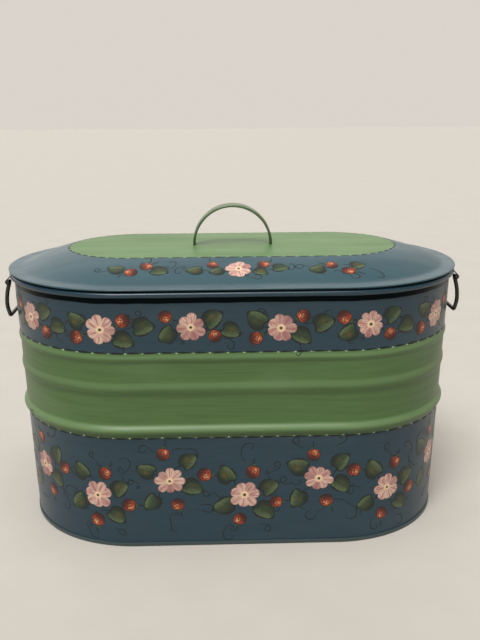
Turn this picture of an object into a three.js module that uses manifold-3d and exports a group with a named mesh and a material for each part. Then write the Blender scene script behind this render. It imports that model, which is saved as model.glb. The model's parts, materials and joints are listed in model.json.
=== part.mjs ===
// Oval tinware bread box with a lift-off lid, a strap lid handle and a wire bail at each end.
// Millimetres, +Z up, X along the length, the front towards -Y.
// The origin is the middle of the base, where the bottom pan touches the table.
import * as THREE from "three";
import { mergeVertices } from "three/addons/utils/BufferGeometryUtils.js";
import Module from "manifold-3d";

const wasm = await Module();
wasm.setup();

// ---- Driving dimensions ----
// Every level outline is a stadium: two half circles joined by straight runs.
const HALF_STRAIGHT = 109;
const ARC_STEPS = 16;
const SHEET = 0.8;
const GAP = 0.3;
const FAR = 400;
const WELD = 1e-4;
const MITRE_LIMIT = 0.7;

// Body walls: two half sheets that lap at the ends, tapering towards the base.
const WALL_TOP_Z = 287.4;
const WALL_TOP_RADIUS = 136.1;
const WALL_TAPER = 0.035;
const WALL_FOOT_Z = 1.1;
const WALL_NECK_Z = 277.8;
const BEADS = [
  { low: 127.7, high: 144.2, proud: 4.0, steps: 6 },
  { low: 173.8, high: 191.4, proud: 1.5, steps: 4 },
  { low: 209.9, high: 220.6, proud: 1.4, steps: 4 },
];
const LAP_EDGE_Y = 4;
const LAP_TAB_REACH = 6;
const LAP_JOINT_WIDTH = 8;
const LAP_JOINT_START = 1;
const LAP_BITE = 0.05;
const LAP_TAB_LOW_Z = 8;
const LAP_TAB_HIGH_Z = 268;

// Rolled rim: the top of each wall sheet curls outwards over a wire.
const RIM_RADIUS = 137.4;
const RIM_Z = 282.4;
const RIM_ROLL = 3.1;
const RIM_WIRE = 1.9;
const CURL_START_DEG = 215;
const CURL_END_DEG = -80;
const CURL_STEPS = 9;

// Bottom pan: a raised panel inside a channel that takes the foot of the walls.
const PAN_PANEL_Z = 5.4;
const PAN_LIP_HEIGHT = 4.6;
const PAN_SLOPE_WIDTH = 1.2;
const PAN_SLOPE_DROP = 1;

// Lid: flat plateau, sloping shoulder, level flange and a closed hem at the edge.
const LID_RADIUS = 141;
const LID_EDGE_Z = 287.4;
const LID_EDGE_THICK = 1.6;
const LID_HEM_WIDTH = 3;
const LID_HEM_ROUND = 0.4;
const LID_HEM_DEGREES = [90, 45, 0, -45, -90];
const LID_FLANGE_RISE = 0.4;
const LID_FLANGE_RADIUS = 126.5;
const LID_PLATEAU_RADIUS = 74.5;
const LID_PLATEAU_Z = 307.4;
const LID_SHOULDER_BULGE = 1.3;
const LID_SHOULDER_STEPS = 5;
const LID_UNDER_INSET = 0.2;
const LID_SLOT_DEPTH = 5;

// Collar: the ring under the lid that fits the mouth and carries the lid on the rim.
const COLLAR_RADIUS = 133;
const COLLAR_LOW_Z = 268;
const COLLAR_BEAD_RADIUS = 137;
const COLLAR_LEDGE_RADIUS = 127;
const COLLAR_CORNER = 1;
const COLLAR_FILLET = 0.4;

// Strap handle on the lid.
const ARCH_RADIUS = 44.5;
const ARCH_CENTRE_Z = 308.4;
const STRAP_WIDTH = 18;
const STRAP_THICK = 0.9;
const HEM_WIDTH = 2.8;
const HEM_THICK = 2.8;
const FOOT_SHARE = 0.5;
const FOOT_RISE = 16;
const TAB_WIDTH = 7;
const TAB_LENGTH = 10;
const TAB_ROOT = 1;
const ARCH_STEPS = 22;

// End bails: bent wire that swings on a pin line just under the rim, and its ears.
const BAIL_WIRE = 2.2;
const BAIL_PIVOT_X = 243.8;
const BAIL_PIVOT_Z = 277.5;
const BAIL_LEG_Y = 41;
const BAIL_GRIP_X = 246.1;
const BAIL_GRIP_Z = 238;
const BAIL_BOW_X = 248.5;
const BAIL_PIN_END_Y = 51.5;
const BAIL_STEPS = 56;
const WIRE_SIDES = 8;
const KNUCKLE_SIDES = 14;
const BORE_SIDES = 12;
const CLIP_STEPS = 8;
const EAR_WIDTH = 6;
const EAR_CENTRE_Y = 46.9;
const EAR_KNUCKLE = 3.2;
const EAR_WRAP_TOP_DEG = 55;
const EAR_WRAP_LOW_DEG = -50;
const EAR_WEB_LENGTH = 2.95;
const EAR_WEB_SLANT_DEG = 38.5;
const EAR_WEB_X = 241.9;
const EAR_WEB_Z = 279;
const EAR_WEB_INSET = 0.6;
const EAR_FACET = 1.5;

// ---- Small helpers ----
const radians = THREE.MathUtils.degToRad;

function point(x, y) {
  return new THREE.Vector2(x, y);
}

// Joins shared corners, drops flattened triangles and makes a solid for joining and cutting.
function toSolid(geometry) {
  const bare = geometry.clone();
  bare.deleteAttribute("normal");
  bare.deleteAttribute("uv");
  const merged = mergeVertices(bare, WELD);
  const corners = merged.getAttribute("position").array;
  const index = merged.getIndex().array;
  const triangles = [];
  for (let i = 0; i < index.length; i += 3) {
    const [a, b, c] = [index[i], index[i + 1], index[i + 2]];
    if (a !== b && b !== c && c !== a) {
      triangles.push(a, b, c);
    }
  }
  const make = (list) => new wasm.Manifold(new wasm.Mesh({
    numProp: 3,
    vertProperties: new Float32Array(corners),
    triVerts: new Uint32Array(list),
  }));
  const solid = make(triangles);
  return solid.volume() > 0 ? solid : make(triangles.reverse());
}

function toGeometry(solid) {
  const mesh = solid.getMesh();
  const geometry = new THREE.BufferGeometry();
  geometry.setAttribute("position", new THREE.BufferAttribute(new Float32Array(mesh.vertProperties), 3));
  geometry.setIndex(new THREE.BufferAttribute(new Uint32Array(mesh.triVerts), 1));
  geometry.computeVertexNormals();
  return geometry;
}

function joined(...solids) {
  return solids.reduce((whole, next) => whole.add(next));
}

function box(low, high) {
  const size = high.map((value, axis) => value - low[axis]);
  const geometry = new THREE.BoxGeometry(...size);
  geometry.translate(...low.map((value, axis) => value + size[axis] / 2));
  return toSolid(geometry);
}

// Turns a section of (distance from the spine, height) points round the stadium outline.
// A lathe turns the section, then its two halves are drawn apart along X.
function turned(section) {
  const steps = 2 * ARC_STEPS + 2;
  const geometry = new THREE.LatheGeometry(section, steps);
  const position = geometry.getAttribute("position");
  for (let i = 0; i <= steps; i += 1) {
    const turn = i % steps;
    const right = turn <= ARC_STEPS;
    const angle = Math.PI * ((right ? turn : turn - 1) / ARC_STEPS - 0.5);
    const middle = right ? HALF_STRAIGHT : -HALF_STRAIGHT;
    section.forEach((corner, j) => {
      const x = middle + corner.x * Math.cos(angle);
      position.setXYZ(i * section.length + j, x, corner.x * Math.sin(angle), corner.y);
    });
  }
  return toSolid(geometry);
}

// Gives a line of section points a thickness, as a closed loop of section points.
function thickened(line, thickness) {
  const left = [];
  const right = [];
  line.forEach((corner, i) => {
    const before = line[Math.max(i - 1, 0)];
    const after = line[Math.min(i + 1, line.length - 1)];
    const first = corner.clone().sub(before).normalize();
    const second = after.clone().sub(corner).normalize();
    const along = first.add(second).normalize();
    const turn = second.lengthSq() > 0 && i > 0 ? along.dot(second) : 1;
    const reach = thickness / 2 / Math.max(turn, MITRE_LIMIT);
    left.push(point(corner.x - along.y * reach, corner.y + along.x * reach));
    right.push(point(corner.x + along.y * reach, corner.y - along.x * reach));
  });
  return [...left, ...right.reverse(), left[0].clone()];
}

function part(name, solid, look) {
  const mesh = new THREE.Mesh(toGeometry(solid), new THREE.MeshStandardMaterial(look));
  mesh.name = name;
  return mesh;
}

const BLUE_PAINT = { color: 0x42586a, roughness: 0.35, metalness: 0.0 };
const GREEN_PAINT = { color: 0x5f7f5c, roughness: 0.45, metalness: 0.0 };
const BARE_TIN = { color: 0x8d9192, roughness: 0.4, metalness: 1.0 };
const BLACK_WIRE = { color: 0x15181a, roughness: 0.3, metalness: 0.4 };

// ---- Body walls ----
function wallRadius(z) {
  const bulge = BEADS.reduce((sum, bead) => {
    const share = (z - bead.low) / (bead.high - bead.low);
    return share > 0 && share < 1 ? sum + (bead.proud * (1 - Math.cos(2 * Math.PI * share))) / 2 : sum;
  }, 0);
  return WALL_TOP_RADIUS - WALL_TAPER * (WALL_TOP_Z - z) + bulge;
}

// Heights where the wall section has a point, with enough of them across each bead.
function wallHeights(low, high) {
  const heights = [low];
  for (const bead of BEADS) {
    for (let i = 0; i <= bead.steps; i += 1) {
      heights.push(bead.low + ((bead.high - bead.low) * i) / bead.steps);
    }
  }
  heights.push(high);
  return heights;
}

function wallLine(low, high, inset) {
  return wallHeights(low, high).map((z) => point(wallRadius(z) - inset, z));
}

// The middle of the curled sheet, from the inside of the rim over the top to the underside.
function curlLine() {
  const bend = RIM_ROLL - SHEET / 2;
  return Array.from({ length: CURL_STEPS + 1 }, (_, i) => {
    const angle = radians(CURL_START_DEG + ((CURL_END_DEG - CURL_START_DEG) * i) / CURL_STEPS);
    return point(RIM_RADIUS + bend * Math.cos(angle), RIM_Z + bend * Math.sin(angle));
  });
}

// The half of the outline that one sheet covers. side is -1 for the front and 1 for the back.
function sheetSide(side) {
  const edge = side * (-LAP_EDGE_Y) + (side * GAP) / 2;
  const other = side * LAP_EDGE_Y + (side * GAP) / 2;
  const spans = (y) => (side < 0 ? [-FAR, y] : [y, FAR]);
  const [nearLow, nearHigh] = spans(edge);
  const [farLow, farHigh] = spans(other);
  const wrapEnd = box([side < 0 ? 0 : -FAR, nearLow, -1], [side < 0 ? FAR : 0, nearHigh, FAR]);
  const lapEnd = box([side < 0 ? -FAR : 0, farLow, -1], [side < 0 ? 0 : FAR, farHigh, FAR]);
  return joined(wrapEnd, lapEnd);
}

// The tab that runs on behind the neighbouring sheet, and the step that carries it.
function lapTab(side) {
  const inset = SHEET + GAP + SHEET / 2;
  const ring = turned(thickened(wallLine(LAP_TAB_LOW_Z, LAP_TAB_HIGH_Z, inset), SHEET));
  const full = inset + SHEET / 2;
  const deep = wallLine(LAP_TAB_LOW_Z, LAP_TAB_HIGH_Z, full / 2 + LAP_BITE);
  const block = turned(thickened(deep, full - 2 * LAP_BITE));
  const seam = side * LAP_EDGE_Y;
  const sector = (from, to) => {
    const [low, high] = [Math.min(from, to), Math.max(from, to)];
    return side < 0 ? box([-FAR, low, 0], [0, high, FAR]) : box([0, low, 0], [FAR, high, FAR]);
  };
  const tab = ring.intersect(sector(seam - side * LAP_TAB_REACH, seam + side * LAP_JOINT_WIDTH));
  const step = block.intersect(sector(seam + side * LAP_JOINT_START, seam + side * LAP_JOINT_WIDTH));
  return joined(tab, step);
}

function makeWall(side) {
  const line = [...wallLine(WALL_FOOT_Z, WALL_NECK_Z, SHEET / 2), ...curlLine()];
  const sheet = turned(thickened(line, SHEET)).intersect(sheetSide(side));
  return joined(sheet, lapTab(side));
}

function makeRimWire() {
  const section = Array.from({ length: WIRE_SIDES + 1 }, (_, i) => {
    const angle = (2 * Math.PI * (i % WIRE_SIDES)) / WIRE_SIDES;
    return point(RIM_RADIUS + RIM_WIRE * Math.cos(angle), RIM_Z + RIM_WIRE * Math.sin(angle));
  });
  return turned(section);
}

// ---- Bottom pan ----
function makeBottomPan() {
  const foot = wallRadius(WALL_FOOT_Z);
  const outer = foot + GAP + SHEET / 2;
  const inner = foot - SHEET - GAP - SHEET / 2;
  const floor = SHEET / 2;
  const line = [
    point(inner - PAN_SLOPE_WIDTH, PAN_PANEL_Z),
    point(inner, PAN_PANEL_Z - PAN_SLOPE_DROP),
    point(inner, floor),
    point(outer, floor),
    point(outer, PAN_LIP_HEIGHT),
  ];
  const rim = thickened(line, SHEET);
  const panel = [
    point(0, PAN_PANEL_Z + SHEET / 2),
    point(rim[0].x, PAN_PANEL_Z + SHEET / 2),
    ...rim.slice(1, -2),
    point(rim[rim.length - 2].x, PAN_PANEL_Z - SHEET / 2),
    point(0, PAN_PANEL_Z - SHEET / 2),
  ];
  return turned(panel);
}

// ---- Lid ----
const FLANGE_Z = LID_EDGE_Z + LID_EDGE_THICK + LID_FLANGE_RISE;

// Height of the lid's top skin over the shoulder: a straight fall with a slight bulge.
function shoulderPoints() {
  return Array.from({ length: LID_SHOULDER_STEPS + 1 }, (_, i) => {
    const share = i / LID_SHOULDER_STEPS;
    const radius = LID_PLATEAU_RADIUS + (LID_FLANGE_RADIUS - LID_PLATEAU_RADIUS) * share;
    const fall = LID_PLATEAU_Z + (FLANGE_Z - LID_PLATEAU_Z) * share;
    return point(radius, fall + LID_SHOULDER_BULGE * Math.sin(Math.PI * share));
  });
}

function makeLidPanel() {
  const top = shoulderPoints();
  const under = top.map((corner) => point(corner.x - LID_UNDER_INSET, corner.y - SHEET)).reverse();
  const edgeTop = LID_EDGE_Z + LID_EDGE_THICK;
  const bend = LID_EDGE_THICK / 2;
  const hem = LID_HEM_DEGREES.map((degrees) => {
    const angle = radians(degrees);
    return point(LID_RADIUS - bend + bend * Math.cos(angle), LID_EDGE_Z + bend + bend * Math.sin(angle));
  });
  const section = [
    point(0, LID_PLATEAU_Z),
    ...top,
    ...hem,
    point(LID_RADIUS - LID_HEM_WIDTH + LID_HEM_ROUND, LID_EDGE_Z),
    point(LID_RADIUS - LID_HEM_WIDTH, edgeTop - SHEET),
    ...under,
    point(0, LID_PLATEAU_Z - SHEET),
  ];
  const slots = [-1, 1].map((side) => {
    const [near, far] = [ARCH_RADIUS - STRAP_THICK - GAP, ARCH_RADIUS + GAP];
    const half = TAB_WIDTH / 2 + GAP;
    const low = [Math.min(side * near, side * far), -half, LID_PLATEAU_Z - LID_SLOT_DEPTH];
    const high = [Math.max(side * near, side * far), half, LID_PLATEAU_Z + LID_SLOT_DEPTH];
    return box(low, high);
  });
  return turned(section).subtract(joined(...slots));
}

function makeLidCollar() {
  const ledge = FLANGE_Z - 2 * SHEET - GAP;
  const rest = RIM_Z + RIM_ROLL + GAP + SHEET / 2;
  const skirt = COLLAR_RADIUS - SHEET / 2;
  const line = [
    point(COLLAR_LEDGE_RADIUS, ledge),
    point(COLLAR_BEAD_RADIUS - COLLAR_CORNER, ledge),
    point(COLLAR_BEAD_RADIUS, (ledge + rest) / 2),
    point(COLLAR_BEAD_RADIUS - COLLAR_CORNER, rest),
    point(skirt + COLLAR_FILLET, rest),
    point(skirt, rest - COLLAR_CORNER),
    point(skirt, COLLAR_LOW_Z),
  ];
  return turned(thickened(line, SHEET));
}

// A half ring standing over the lid with two short straight feet, cut from a flat outline.
function archBand(thickness, low, width) {
  const outline = new THREE.Shape();
  const inside = ARCH_RADIUS - thickness;
  outline.moveTo(ARCH_RADIUS, low - ARCH_CENTRE_Z);
  outline.lineTo(ARCH_RADIUS, 0);
  outline.absarc(0, 0, ARCH_RADIUS, 0, Math.PI, false);
  outline.lineTo(-ARCH_RADIUS, low - ARCH_CENTRE_Z);
  outline.lineTo(-inside, low - ARCH_CENTRE_Z);
  outline.lineTo(-inside, 0);
  outline.absarc(0, 0, inside, Math.PI, 0, true);
  outline.lineTo(inside, low - ARCH_CENTRE_Z);
  outline.closePath();
  const options = { depth: width, bevelEnabled: false, curveSegments: ARCH_STEPS };
  const geometry = new THREE.ExtrudeGeometry(outline, options);
  geometry.rotateX(Math.PI / 2);
  return geometry;
}

// Narrows the strap towards its feet.
function narrowed(geometry, foot) {
  const position = geometry.getAttribute("position");
  for (let i = 0; i < position.count; i += 1) {
    const rise = Math.min(1, (position.getZ(i) - foot) / FOOT_RISE);
    position.setY(i, position.getY(i) * (FOOT_SHARE + (1 - FOOT_SHARE) * rise));
  }
  return toSolid(geometry);
}

function makeLidHandle() {
  const foot = LID_PLATEAU_Z + GAP;
  const tabLow = LID_PLATEAU_Z - SHEET - GAP - STRAP_THICK;
  const strap = archBand(STRAP_THICK, foot, STRAP_WIDTH);
  strap.translate(0, STRAP_WIDTH / 2, ARCH_CENTRE_Z);
  const pieces = [narrowed(strap, foot)];
  for (const side of [-1, 1]) {
    const hem = archBand(HEM_THICK, foot, HEM_WIDTH);
    hem.translate(0, (side * (STRAP_WIDTH - HEM_WIDTH)) / 2 + HEM_WIDTH / 2, ARCH_CENTRE_Z);
    pieces.push(narrowed(hem, foot));
    const [near, far] = [ARCH_RADIUS - STRAP_THICK, ARCH_RADIUS];
    const stem = [Math.min(side * near, side * far), Math.max(side * near, side * far)];
    pieces.push(box([stem[0], -TAB_WIDTH / 2, tabLow], [stem[1], TAB_WIDTH / 2, foot + TAB_ROOT]));
    const toes = [side * (far - TAB_LENGTH), side * far].sort((a, b) => a - b);
    pieces.push(box([toes[0], -TAB_WIDTH / 2, tabLow], [toes[1], TAB_WIDTH / 2, tabLow + STRAP_THICK]));
  }
  return joined(...pieces);
}

// ---- End bails and their ears ----
function makeBail(end) {
  const half = [
    [BAIL_PIVOT_X, BAIL_PIN_END_Y, BAIL_PIVOT_Z],
    [BAIL_PIVOT_X, BAIL_PIN_END_Y - 3, BAIL_PIVOT_Z],
    [BAIL_PIVOT_X, BAIL_LEG_Y + 3.2, BAIL_PIVOT_Z],
    [BAIL_PIVOT_X + 0.2, BAIL_LEG_Y + 0.9, BAIL_PIVOT_Z - 0.9],
    [BAIL_PIVOT_X + 0.8, BAIL_LEG_Y, BAIL_PIVOT_Z - 3.4],
    [BAIL_BOW_X - 1.2, BAIL_LEG_Y, 262],
    [BAIL_BOW_X, BAIL_LEG_Y, 253],
    [BAIL_BOW_X - 0.6, BAIL_LEG_Y, BAIL_GRIP_Z + 7],
    [BAIL_GRIP_X + 0.3, BAIL_LEG_Y - 2, BAIL_GRIP_Z + 2],
    [BAIL_GRIP_X, BAIL_LEG_Y - 7, BAIL_GRIP_Z],
    [BAIL_GRIP_X, BAIL_LEG_Y / 3, BAIL_GRIP_Z],
  ];
  const other = half.map(([x, y, z]) => [x, -y, z]).reverse();
  const route = [...half, ...other].map(([x, y, z]) => new THREE.Vector3(end * x, y, z));
  const path = new THREE.CatmullRomCurve3(route, false, "centripetal");
  const round = new THREE.Shape();
  for (let i = 0; i < WIRE_SIDES; i += 1) {
    const angle = (2 * Math.PI * (i + 0.5)) / WIRE_SIDES;
    const corner = point(BAIL_WIRE * Math.cos(angle), BAIL_WIRE * Math.sin(angle));
    i === 0 ? round.moveTo(corner.x, corner.y) : round.lineTo(corner.x, corner.y);
  }
  round.closePath();
  const options = { steps: BAIL_STEPS, extrudePath: path, bevelEnabled: false };
  return toSolid(new THREE.ExtrudeGeometry(round, options));
}

// Places a geometry in the frame of the rim's facet that the ear sits on.
function onRimFacet(geometry, end, side) {
  const facet = Math.PI / ARC_STEPS;
  const turn = EAR_FACET * facet * side;
  const flat = RIM_RADIUS * Math.cos(facet / 2);
  const along = (side * EAR_CENTRE_Y - flat * Math.sin(turn)) / Math.cos(turn);
  geometry.translate(flat, along, RIM_Z);
  geometry.rotateZ(turn);
  geometry.translate(HALF_STRAIGHT, 0, 0);
  if (end < 0) {
    geometry.rotateZ(Math.PI);
  }
  return toSolid(geometry);
}

// An ear clips round the outside of the rim roll and ends in a knuckle for the bail's pin.
function makeEar(end, side) {
  const near = end * side;
  const clip = new THREE.Shape();
  const [top, low] = [radians(EAR_WRAP_TOP_DEG), radians(EAR_WRAP_LOW_DEG)];
  const inside = RIM_ROLL + GAP;
  clip.absarc(0, 0, inside + SHEET, low, top, false);
  clip.absarc(0, 0, inside, top, low, true);
  clip.closePath();
  const options = { depth: EAR_WIDTH, bevelEnabled: false, curveSegments: CLIP_STEPS };
  const band = new THREE.ExtrudeGeometry(clip, options);
  band.rotateX(Math.PI / 2);
  band.translate(0, EAR_WIDTH / 2, 0);
  const knuckle = new THREE.CylinderGeometry(EAR_KNUCKLE, EAR_KNUCKLE, EAR_WIDTH, KNUCKLE_SIDES);
  knuckle.translate(end * BAIL_PIVOT_X, side * EAR_CENTRE_Y, BAIL_PIVOT_Z);
  const bore = new THREE.CylinderGeometry(BAIL_WIRE + GAP, BAIL_WIRE + GAP, 4 * EAR_WIDTH, BORE_SIDES);
  bore.translate(end * BAIL_PIVOT_X, side * EAR_CENTRE_Y, BAIL_PIVOT_Z);
  const web = new THREE.BoxGeometry(EAR_WEB_LENGTH, EAR_WIDTH - EAR_WEB_INSET, 2 * SHEET);
  web.rotateY(radians(EAR_WEB_SLANT_DEG) * end);
  web.translate(end * EAR_WEB_X, side * EAR_CENTRE_Y, EAR_WEB_Z);
  const whole = joined(onRimFacet(band, end, near), toSolid(knuckle), toSolid(web));
  return whole.subtract(toSolid(bore));
}

// ---- Assembly ----
const breadBox = new THREE.Group();

const tub = new THREE.Group();
tub.add(part("front_wall", makeWall(-1), BLUE_PAINT));
tub.add(part("back_wall", makeWall(1), BLUE_PAINT));
tub.add(part("bottom_pan", makeBottomPan(), BLUE_PAINT));
tub.add(part("rim_wire", makeRimWire(), BARE_TIN));

const ENDS = { left: -1, right: 1 };
const SIDES = { front: -1, back: 1 };
for (const [endName, end] of Object.entries(ENDS)) {
  for (const [sideName, side] of Object.entries(SIDES)) {
    tub.add(part(`${endName}_ear_${sideName}`, makeEar(end, side), BLUE_PAINT));
  }
}
breadBox.add(tub);

const lid = new THREE.Group();
lid.add(part("lid_panel", makeLidPanel(), BLUE_PAINT));
lid.add(part("lid_collar", makeLidCollar(), BLUE_PAINT));
lid.add(part("lid_handle", makeLidHandle(), GREEN_PAINT));
breadBox.add(lid);

for (const [endName, end] of Object.entries(ENDS)) {
  breadBox.add(part(`${endName}_bail`, makeBail(end), BLACK_WIRE));
}

export default breadBox;
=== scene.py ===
"""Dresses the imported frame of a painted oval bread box.

The fine sheet-metal surfaces, the wire bails and the painted garlands are built here, in metres,
in the frame's own coordinates: +X along the length, -Y towards the front, +Z up.
"""
import json
import logging
import math
import random
from dataclasses import dataclass, field
from enum import Enum
from typing import Any, Callable, Iterable, Mapping, Sequence

import bmesh
import bpy
from mathutils import Matrix, Vector


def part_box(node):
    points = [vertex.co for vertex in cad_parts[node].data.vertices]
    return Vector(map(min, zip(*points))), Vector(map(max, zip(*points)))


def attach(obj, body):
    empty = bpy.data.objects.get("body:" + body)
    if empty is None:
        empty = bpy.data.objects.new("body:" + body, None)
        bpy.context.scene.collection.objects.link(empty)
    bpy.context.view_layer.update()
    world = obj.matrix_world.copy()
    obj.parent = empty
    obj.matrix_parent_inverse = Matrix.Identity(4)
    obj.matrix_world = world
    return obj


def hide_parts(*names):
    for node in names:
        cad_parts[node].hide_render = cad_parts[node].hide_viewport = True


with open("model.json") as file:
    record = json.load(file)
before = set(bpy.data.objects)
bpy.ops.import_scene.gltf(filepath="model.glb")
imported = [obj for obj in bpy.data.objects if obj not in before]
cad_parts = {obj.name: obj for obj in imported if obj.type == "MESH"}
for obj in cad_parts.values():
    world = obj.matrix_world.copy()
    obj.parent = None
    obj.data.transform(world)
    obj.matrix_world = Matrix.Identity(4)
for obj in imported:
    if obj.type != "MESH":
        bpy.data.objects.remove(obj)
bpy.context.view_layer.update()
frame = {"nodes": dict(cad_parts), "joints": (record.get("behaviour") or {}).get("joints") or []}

MM = 0.001
LOG = logging.getLogger("bread_box")

Colour = tuple[float, float, float]
Section = list[tuple[float, float]]


# ---------------------------------------------------------------------------------------------
# Sizes shared by the sub-assemblies
# ---------------------------------------------------------------------------------------------
class Body(str, Enum):
    """The rigid bodies that pieces ride on."""

    TUB = "tub"
    LID = "lid"
    LEFT_BAIL = "left_bail"
    RIGHT_BAIL = "right_bail"


class End(Enum):
    """An end of the box, with the sign of its X."""

    LEFT = -1
    RIGHT = 1


class Side(Enum):
    """The front or the back, with the sign of its Y."""

    FRONT = -1
    BACK = 1


@dataclass(frozen=True)
class Bead:
    """A raised ring pressed into the wall, between two heights."""

    low: float
    high: float
    proud: float

    def height_at(self, z: float) -> float:
        """How far the bead stands out at height z.

        Args:
            z: height above the base.

        Returns:
            The distance from the plain wall, nought outside the bead.
        """
        share = (z - self.low) / (self.high - self.low)
        if not 0.0 < share < 1.0:
            return 0.0
        return self.proud * (1.0 - math.cos(2.0 * math.pi * share)) / 2.0


@dataclass(frozen=True)
class Stadium:
    """A level outline: two half circles joined by straight runs along X."""

    half: float
    nominal: float

    @property
    def around(self) -> float:
        """The length of the outline at its nominal radius."""
        return 4.0 * self.half + 2.0 * math.pi * self.nominal

    def place(self, along: float, radius: float, z: float) -> Vector:
        """Finds a point from its distance along the outline.

        Args:
            along: distance from the middle of the front, positive towards the right.
            radius: distance from the spine of the outline.
            z: height of the point.

        Returns:
            The point in the frame's coordinates.
        """
        along = (along + self.around / 2.0) % self.around - self.around / 2.0
        sign = math.copysign(1.0, along)
        run = abs(along)
        arc = math.pi * self.nominal
        if run <= self.half:
            return Vector((along, -radius, z))
        if run <= self.half + arc:
            angle = (run - self.half) / self.nominal
            return Vector((sign * (self.half + radius * math.sin(angle)), -radius * math.cos(angle), z))
        return Vector((sign * (2.0 * self.half + arc - run), radius, z))


LID_LOW, LID_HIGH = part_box("lid_panel")
WIRE_LOW, WIRE_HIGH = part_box("rim_wire")
BAIL_END_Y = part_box("right_bail")[1].y
LID_RADIUS = LID_HIGH.y
HALF_STRAIGHT = LID_HIGH.x - LID_RADIUS
PLATEAU_Z = LID_HIGH.z
RIM_Z = (WIRE_LOW.z + WIRE_HIGH.z) / 2.0
RIM_RADIUS = WIRE_HIGH.y - (WIRE_HIGH.z - WIRE_LOW.z) / 2.0
RIM_ROLL = 3.1 * MM
PLATEAU_RADIUS = 74.5 * MM
PIVOT = next(Vector(joint["pos_m"]) for joint in frame["joints"] if joint["name"] == "right_bail_swing")
SHEET = 0.8 * MM
GAP = 0.3 * MM
MERGE_REACH = 1e-6
ARC_STEPS = 72
RUN_STEPS = 12

BEADS = (
    Bead(127.7 * MM, 144.2 * MM, 4.0 * MM),
    Bead(173.8 * MM, 191.4 * MM, 1.5 * MM),
    Bead(209.9 * MM, 220.6 * MM, 1.4 * MM),
)
WALL_TOP_RADIUS = 136.1 * MM
WALL_TOP_Z = 287.4 * MM
WALL_TAPER = 0.035
GREEN_LOW_Z = 127.3 * MM
GREEN_HIGH_Z = 221.7 * MM
BLACK_LOW_Z = 273.4 * MM
OUTLINE = Stadium(HALF_STRAIGHT, 132.0 * MM)
LID_OUTLINE = Stadium(HALF_STRAIGHT, 96.0 * MM)


def wall_radius(z: float) -> float:
    """The wall's outside distance from the spine at height z, beads included."""
    taper = WALL_TAPER * (WALL_TOP_Z - z)
    return WALL_TOP_RADIUS - taper + sum(bead.height_at(z) for bead in BEADS)


# ---------------------------------------------------------------------------------------------
# Mesh building
# ---------------------------------------------------------------------------------------------
def finish_mesh(shape: bmesh.types.BMesh, name: str, smooth_deg: float = 40.0) -> bpy.types.Object:
    """Turns a bmesh into a smooth-shaded object at the origin.

    Args:
        shape: the finished bmesh, which is freed.
        name: the piece's name.
        smooth_deg: edges sharper than this stay crisp.

    Returns:
        The new object.
    """
    for face in shape.faces:
        face.smooth = True
    mesh = bpy.data.meshes.new(name)
    shape.to_mesh(mesh)
    shape.free()
    mesh.set_sharp_from_angle(angle=math.radians(smooth_deg))
    piece = bpy.data.objects.new(name, mesh)
    bpy.context.scene.collection.objects.link(piece)
    return piece


def heal(shape: bmesh.types.BMesh) -> None:
    """Merges doubled points and turns every face outwards."""
    bmesh.ops.remove_doubles(shape, verts=shape.verts, dist=MERGE_REACH)
    bmesh.ops.dissolve_degenerate(shape, dist=MERGE_REACH / 2.0, edges=shape.edges)
    bmesh.ops.recalc_face_normals(shape, faces=shape.faces)


def edges_of(items: Iterable[Any]) -> list[bmesh.types.BMEdge]:
    """Picks the edges out of what an operator returns."""
    return [item for item in items if isinstance(item, bmesh.types.BMEdge)]


def pull(shape: bmesh.types.BMesh, edges: list[bmesh.types.BMEdge],
         step: Vector) -> tuple[list[bmesh.types.BMEdge], list[bmesh.types.BMVert]]:
    """Draws a line of edges out into a strip of faces.

    Args:
        shape: the bmesh that holds the edges.
        edges: the line to draw out.
        step: how far it goes.

    Returns:
        The new line's edges and its points.
    """
    drawn = bmesh.ops.extrude_edge_only(shape, edges=edges)["geom"]
    points = [item for item in drawn if isinstance(item, bmesh.types.BMVert)]
    bmesh.ops.translate(shape, verts=points, vec=step)
    return [edge for edge in edges_of(drawn) if all(point in points for point in edge.verts)], points


def sweep(section: Section, closed: bool = True) -> bmesh.types.BMesh:
    """Carries a section round the whole stadium outline.

    Args:
        section: points as (distance from the spine, height).
        closed: whether the last point joins the first.

    Returns:
        A healed bmesh of the ring.
    """
    shape = bmesh.new()
    points = [shape.verts.new((HALF_STRAIGHT, -radius, z)) for radius, z in section]
    pairs = list(zip(points, points[1:] + points[:1]))
    edges = [shape.edges.new(pair) for pair in (pairs if closed else pairs[:-1])]
    for end in (1.0, -1.0):
        turned = bmesh.ops.spin(
            shape, geom=edges, cent=(end * HALF_STRAIGHT, 0.0, 0.0), axis=(0.0, 0.0, 1.0),
            angle=math.pi, steps=ARC_STEPS, use_merge=False, use_normal_flip=False, use_duplicate=False)
        edges = edges_of(turned["geom_last"])
        for _ in range(RUN_STEPS):
            edges = pull(shape, edges, Vector((-end * 2.0 * HALF_STRAIGHT / RUN_STEPS, 0.0, 0.0)))[0]
    heal(shape)
    return shape


def slice_off(shape: bmesh.types.BMesh, point: Vector, normal: Vector) -> None:
    """Cuts away what lies on the normal's side of a plane and closes the cut.

    Args:
        shape: the bmesh to cut.
        point: a point of the plane.
        normal: points to the side that goes.
    """
    geometry = [*shape.verts, *shape.edges, *shape.faces]
    cut = bmesh.ops.bisect_plane(
        shape, geom=geometry, plane_co=point, plane_no=normal, clear_outer=True)["geom_cut"]
    bmesh.ops.triangle_fill(shape, edges=edges_of(cut), use_beauty=True)
    bmesh.ops.recalc_face_normals(shape, faces=shape.faces)


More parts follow.
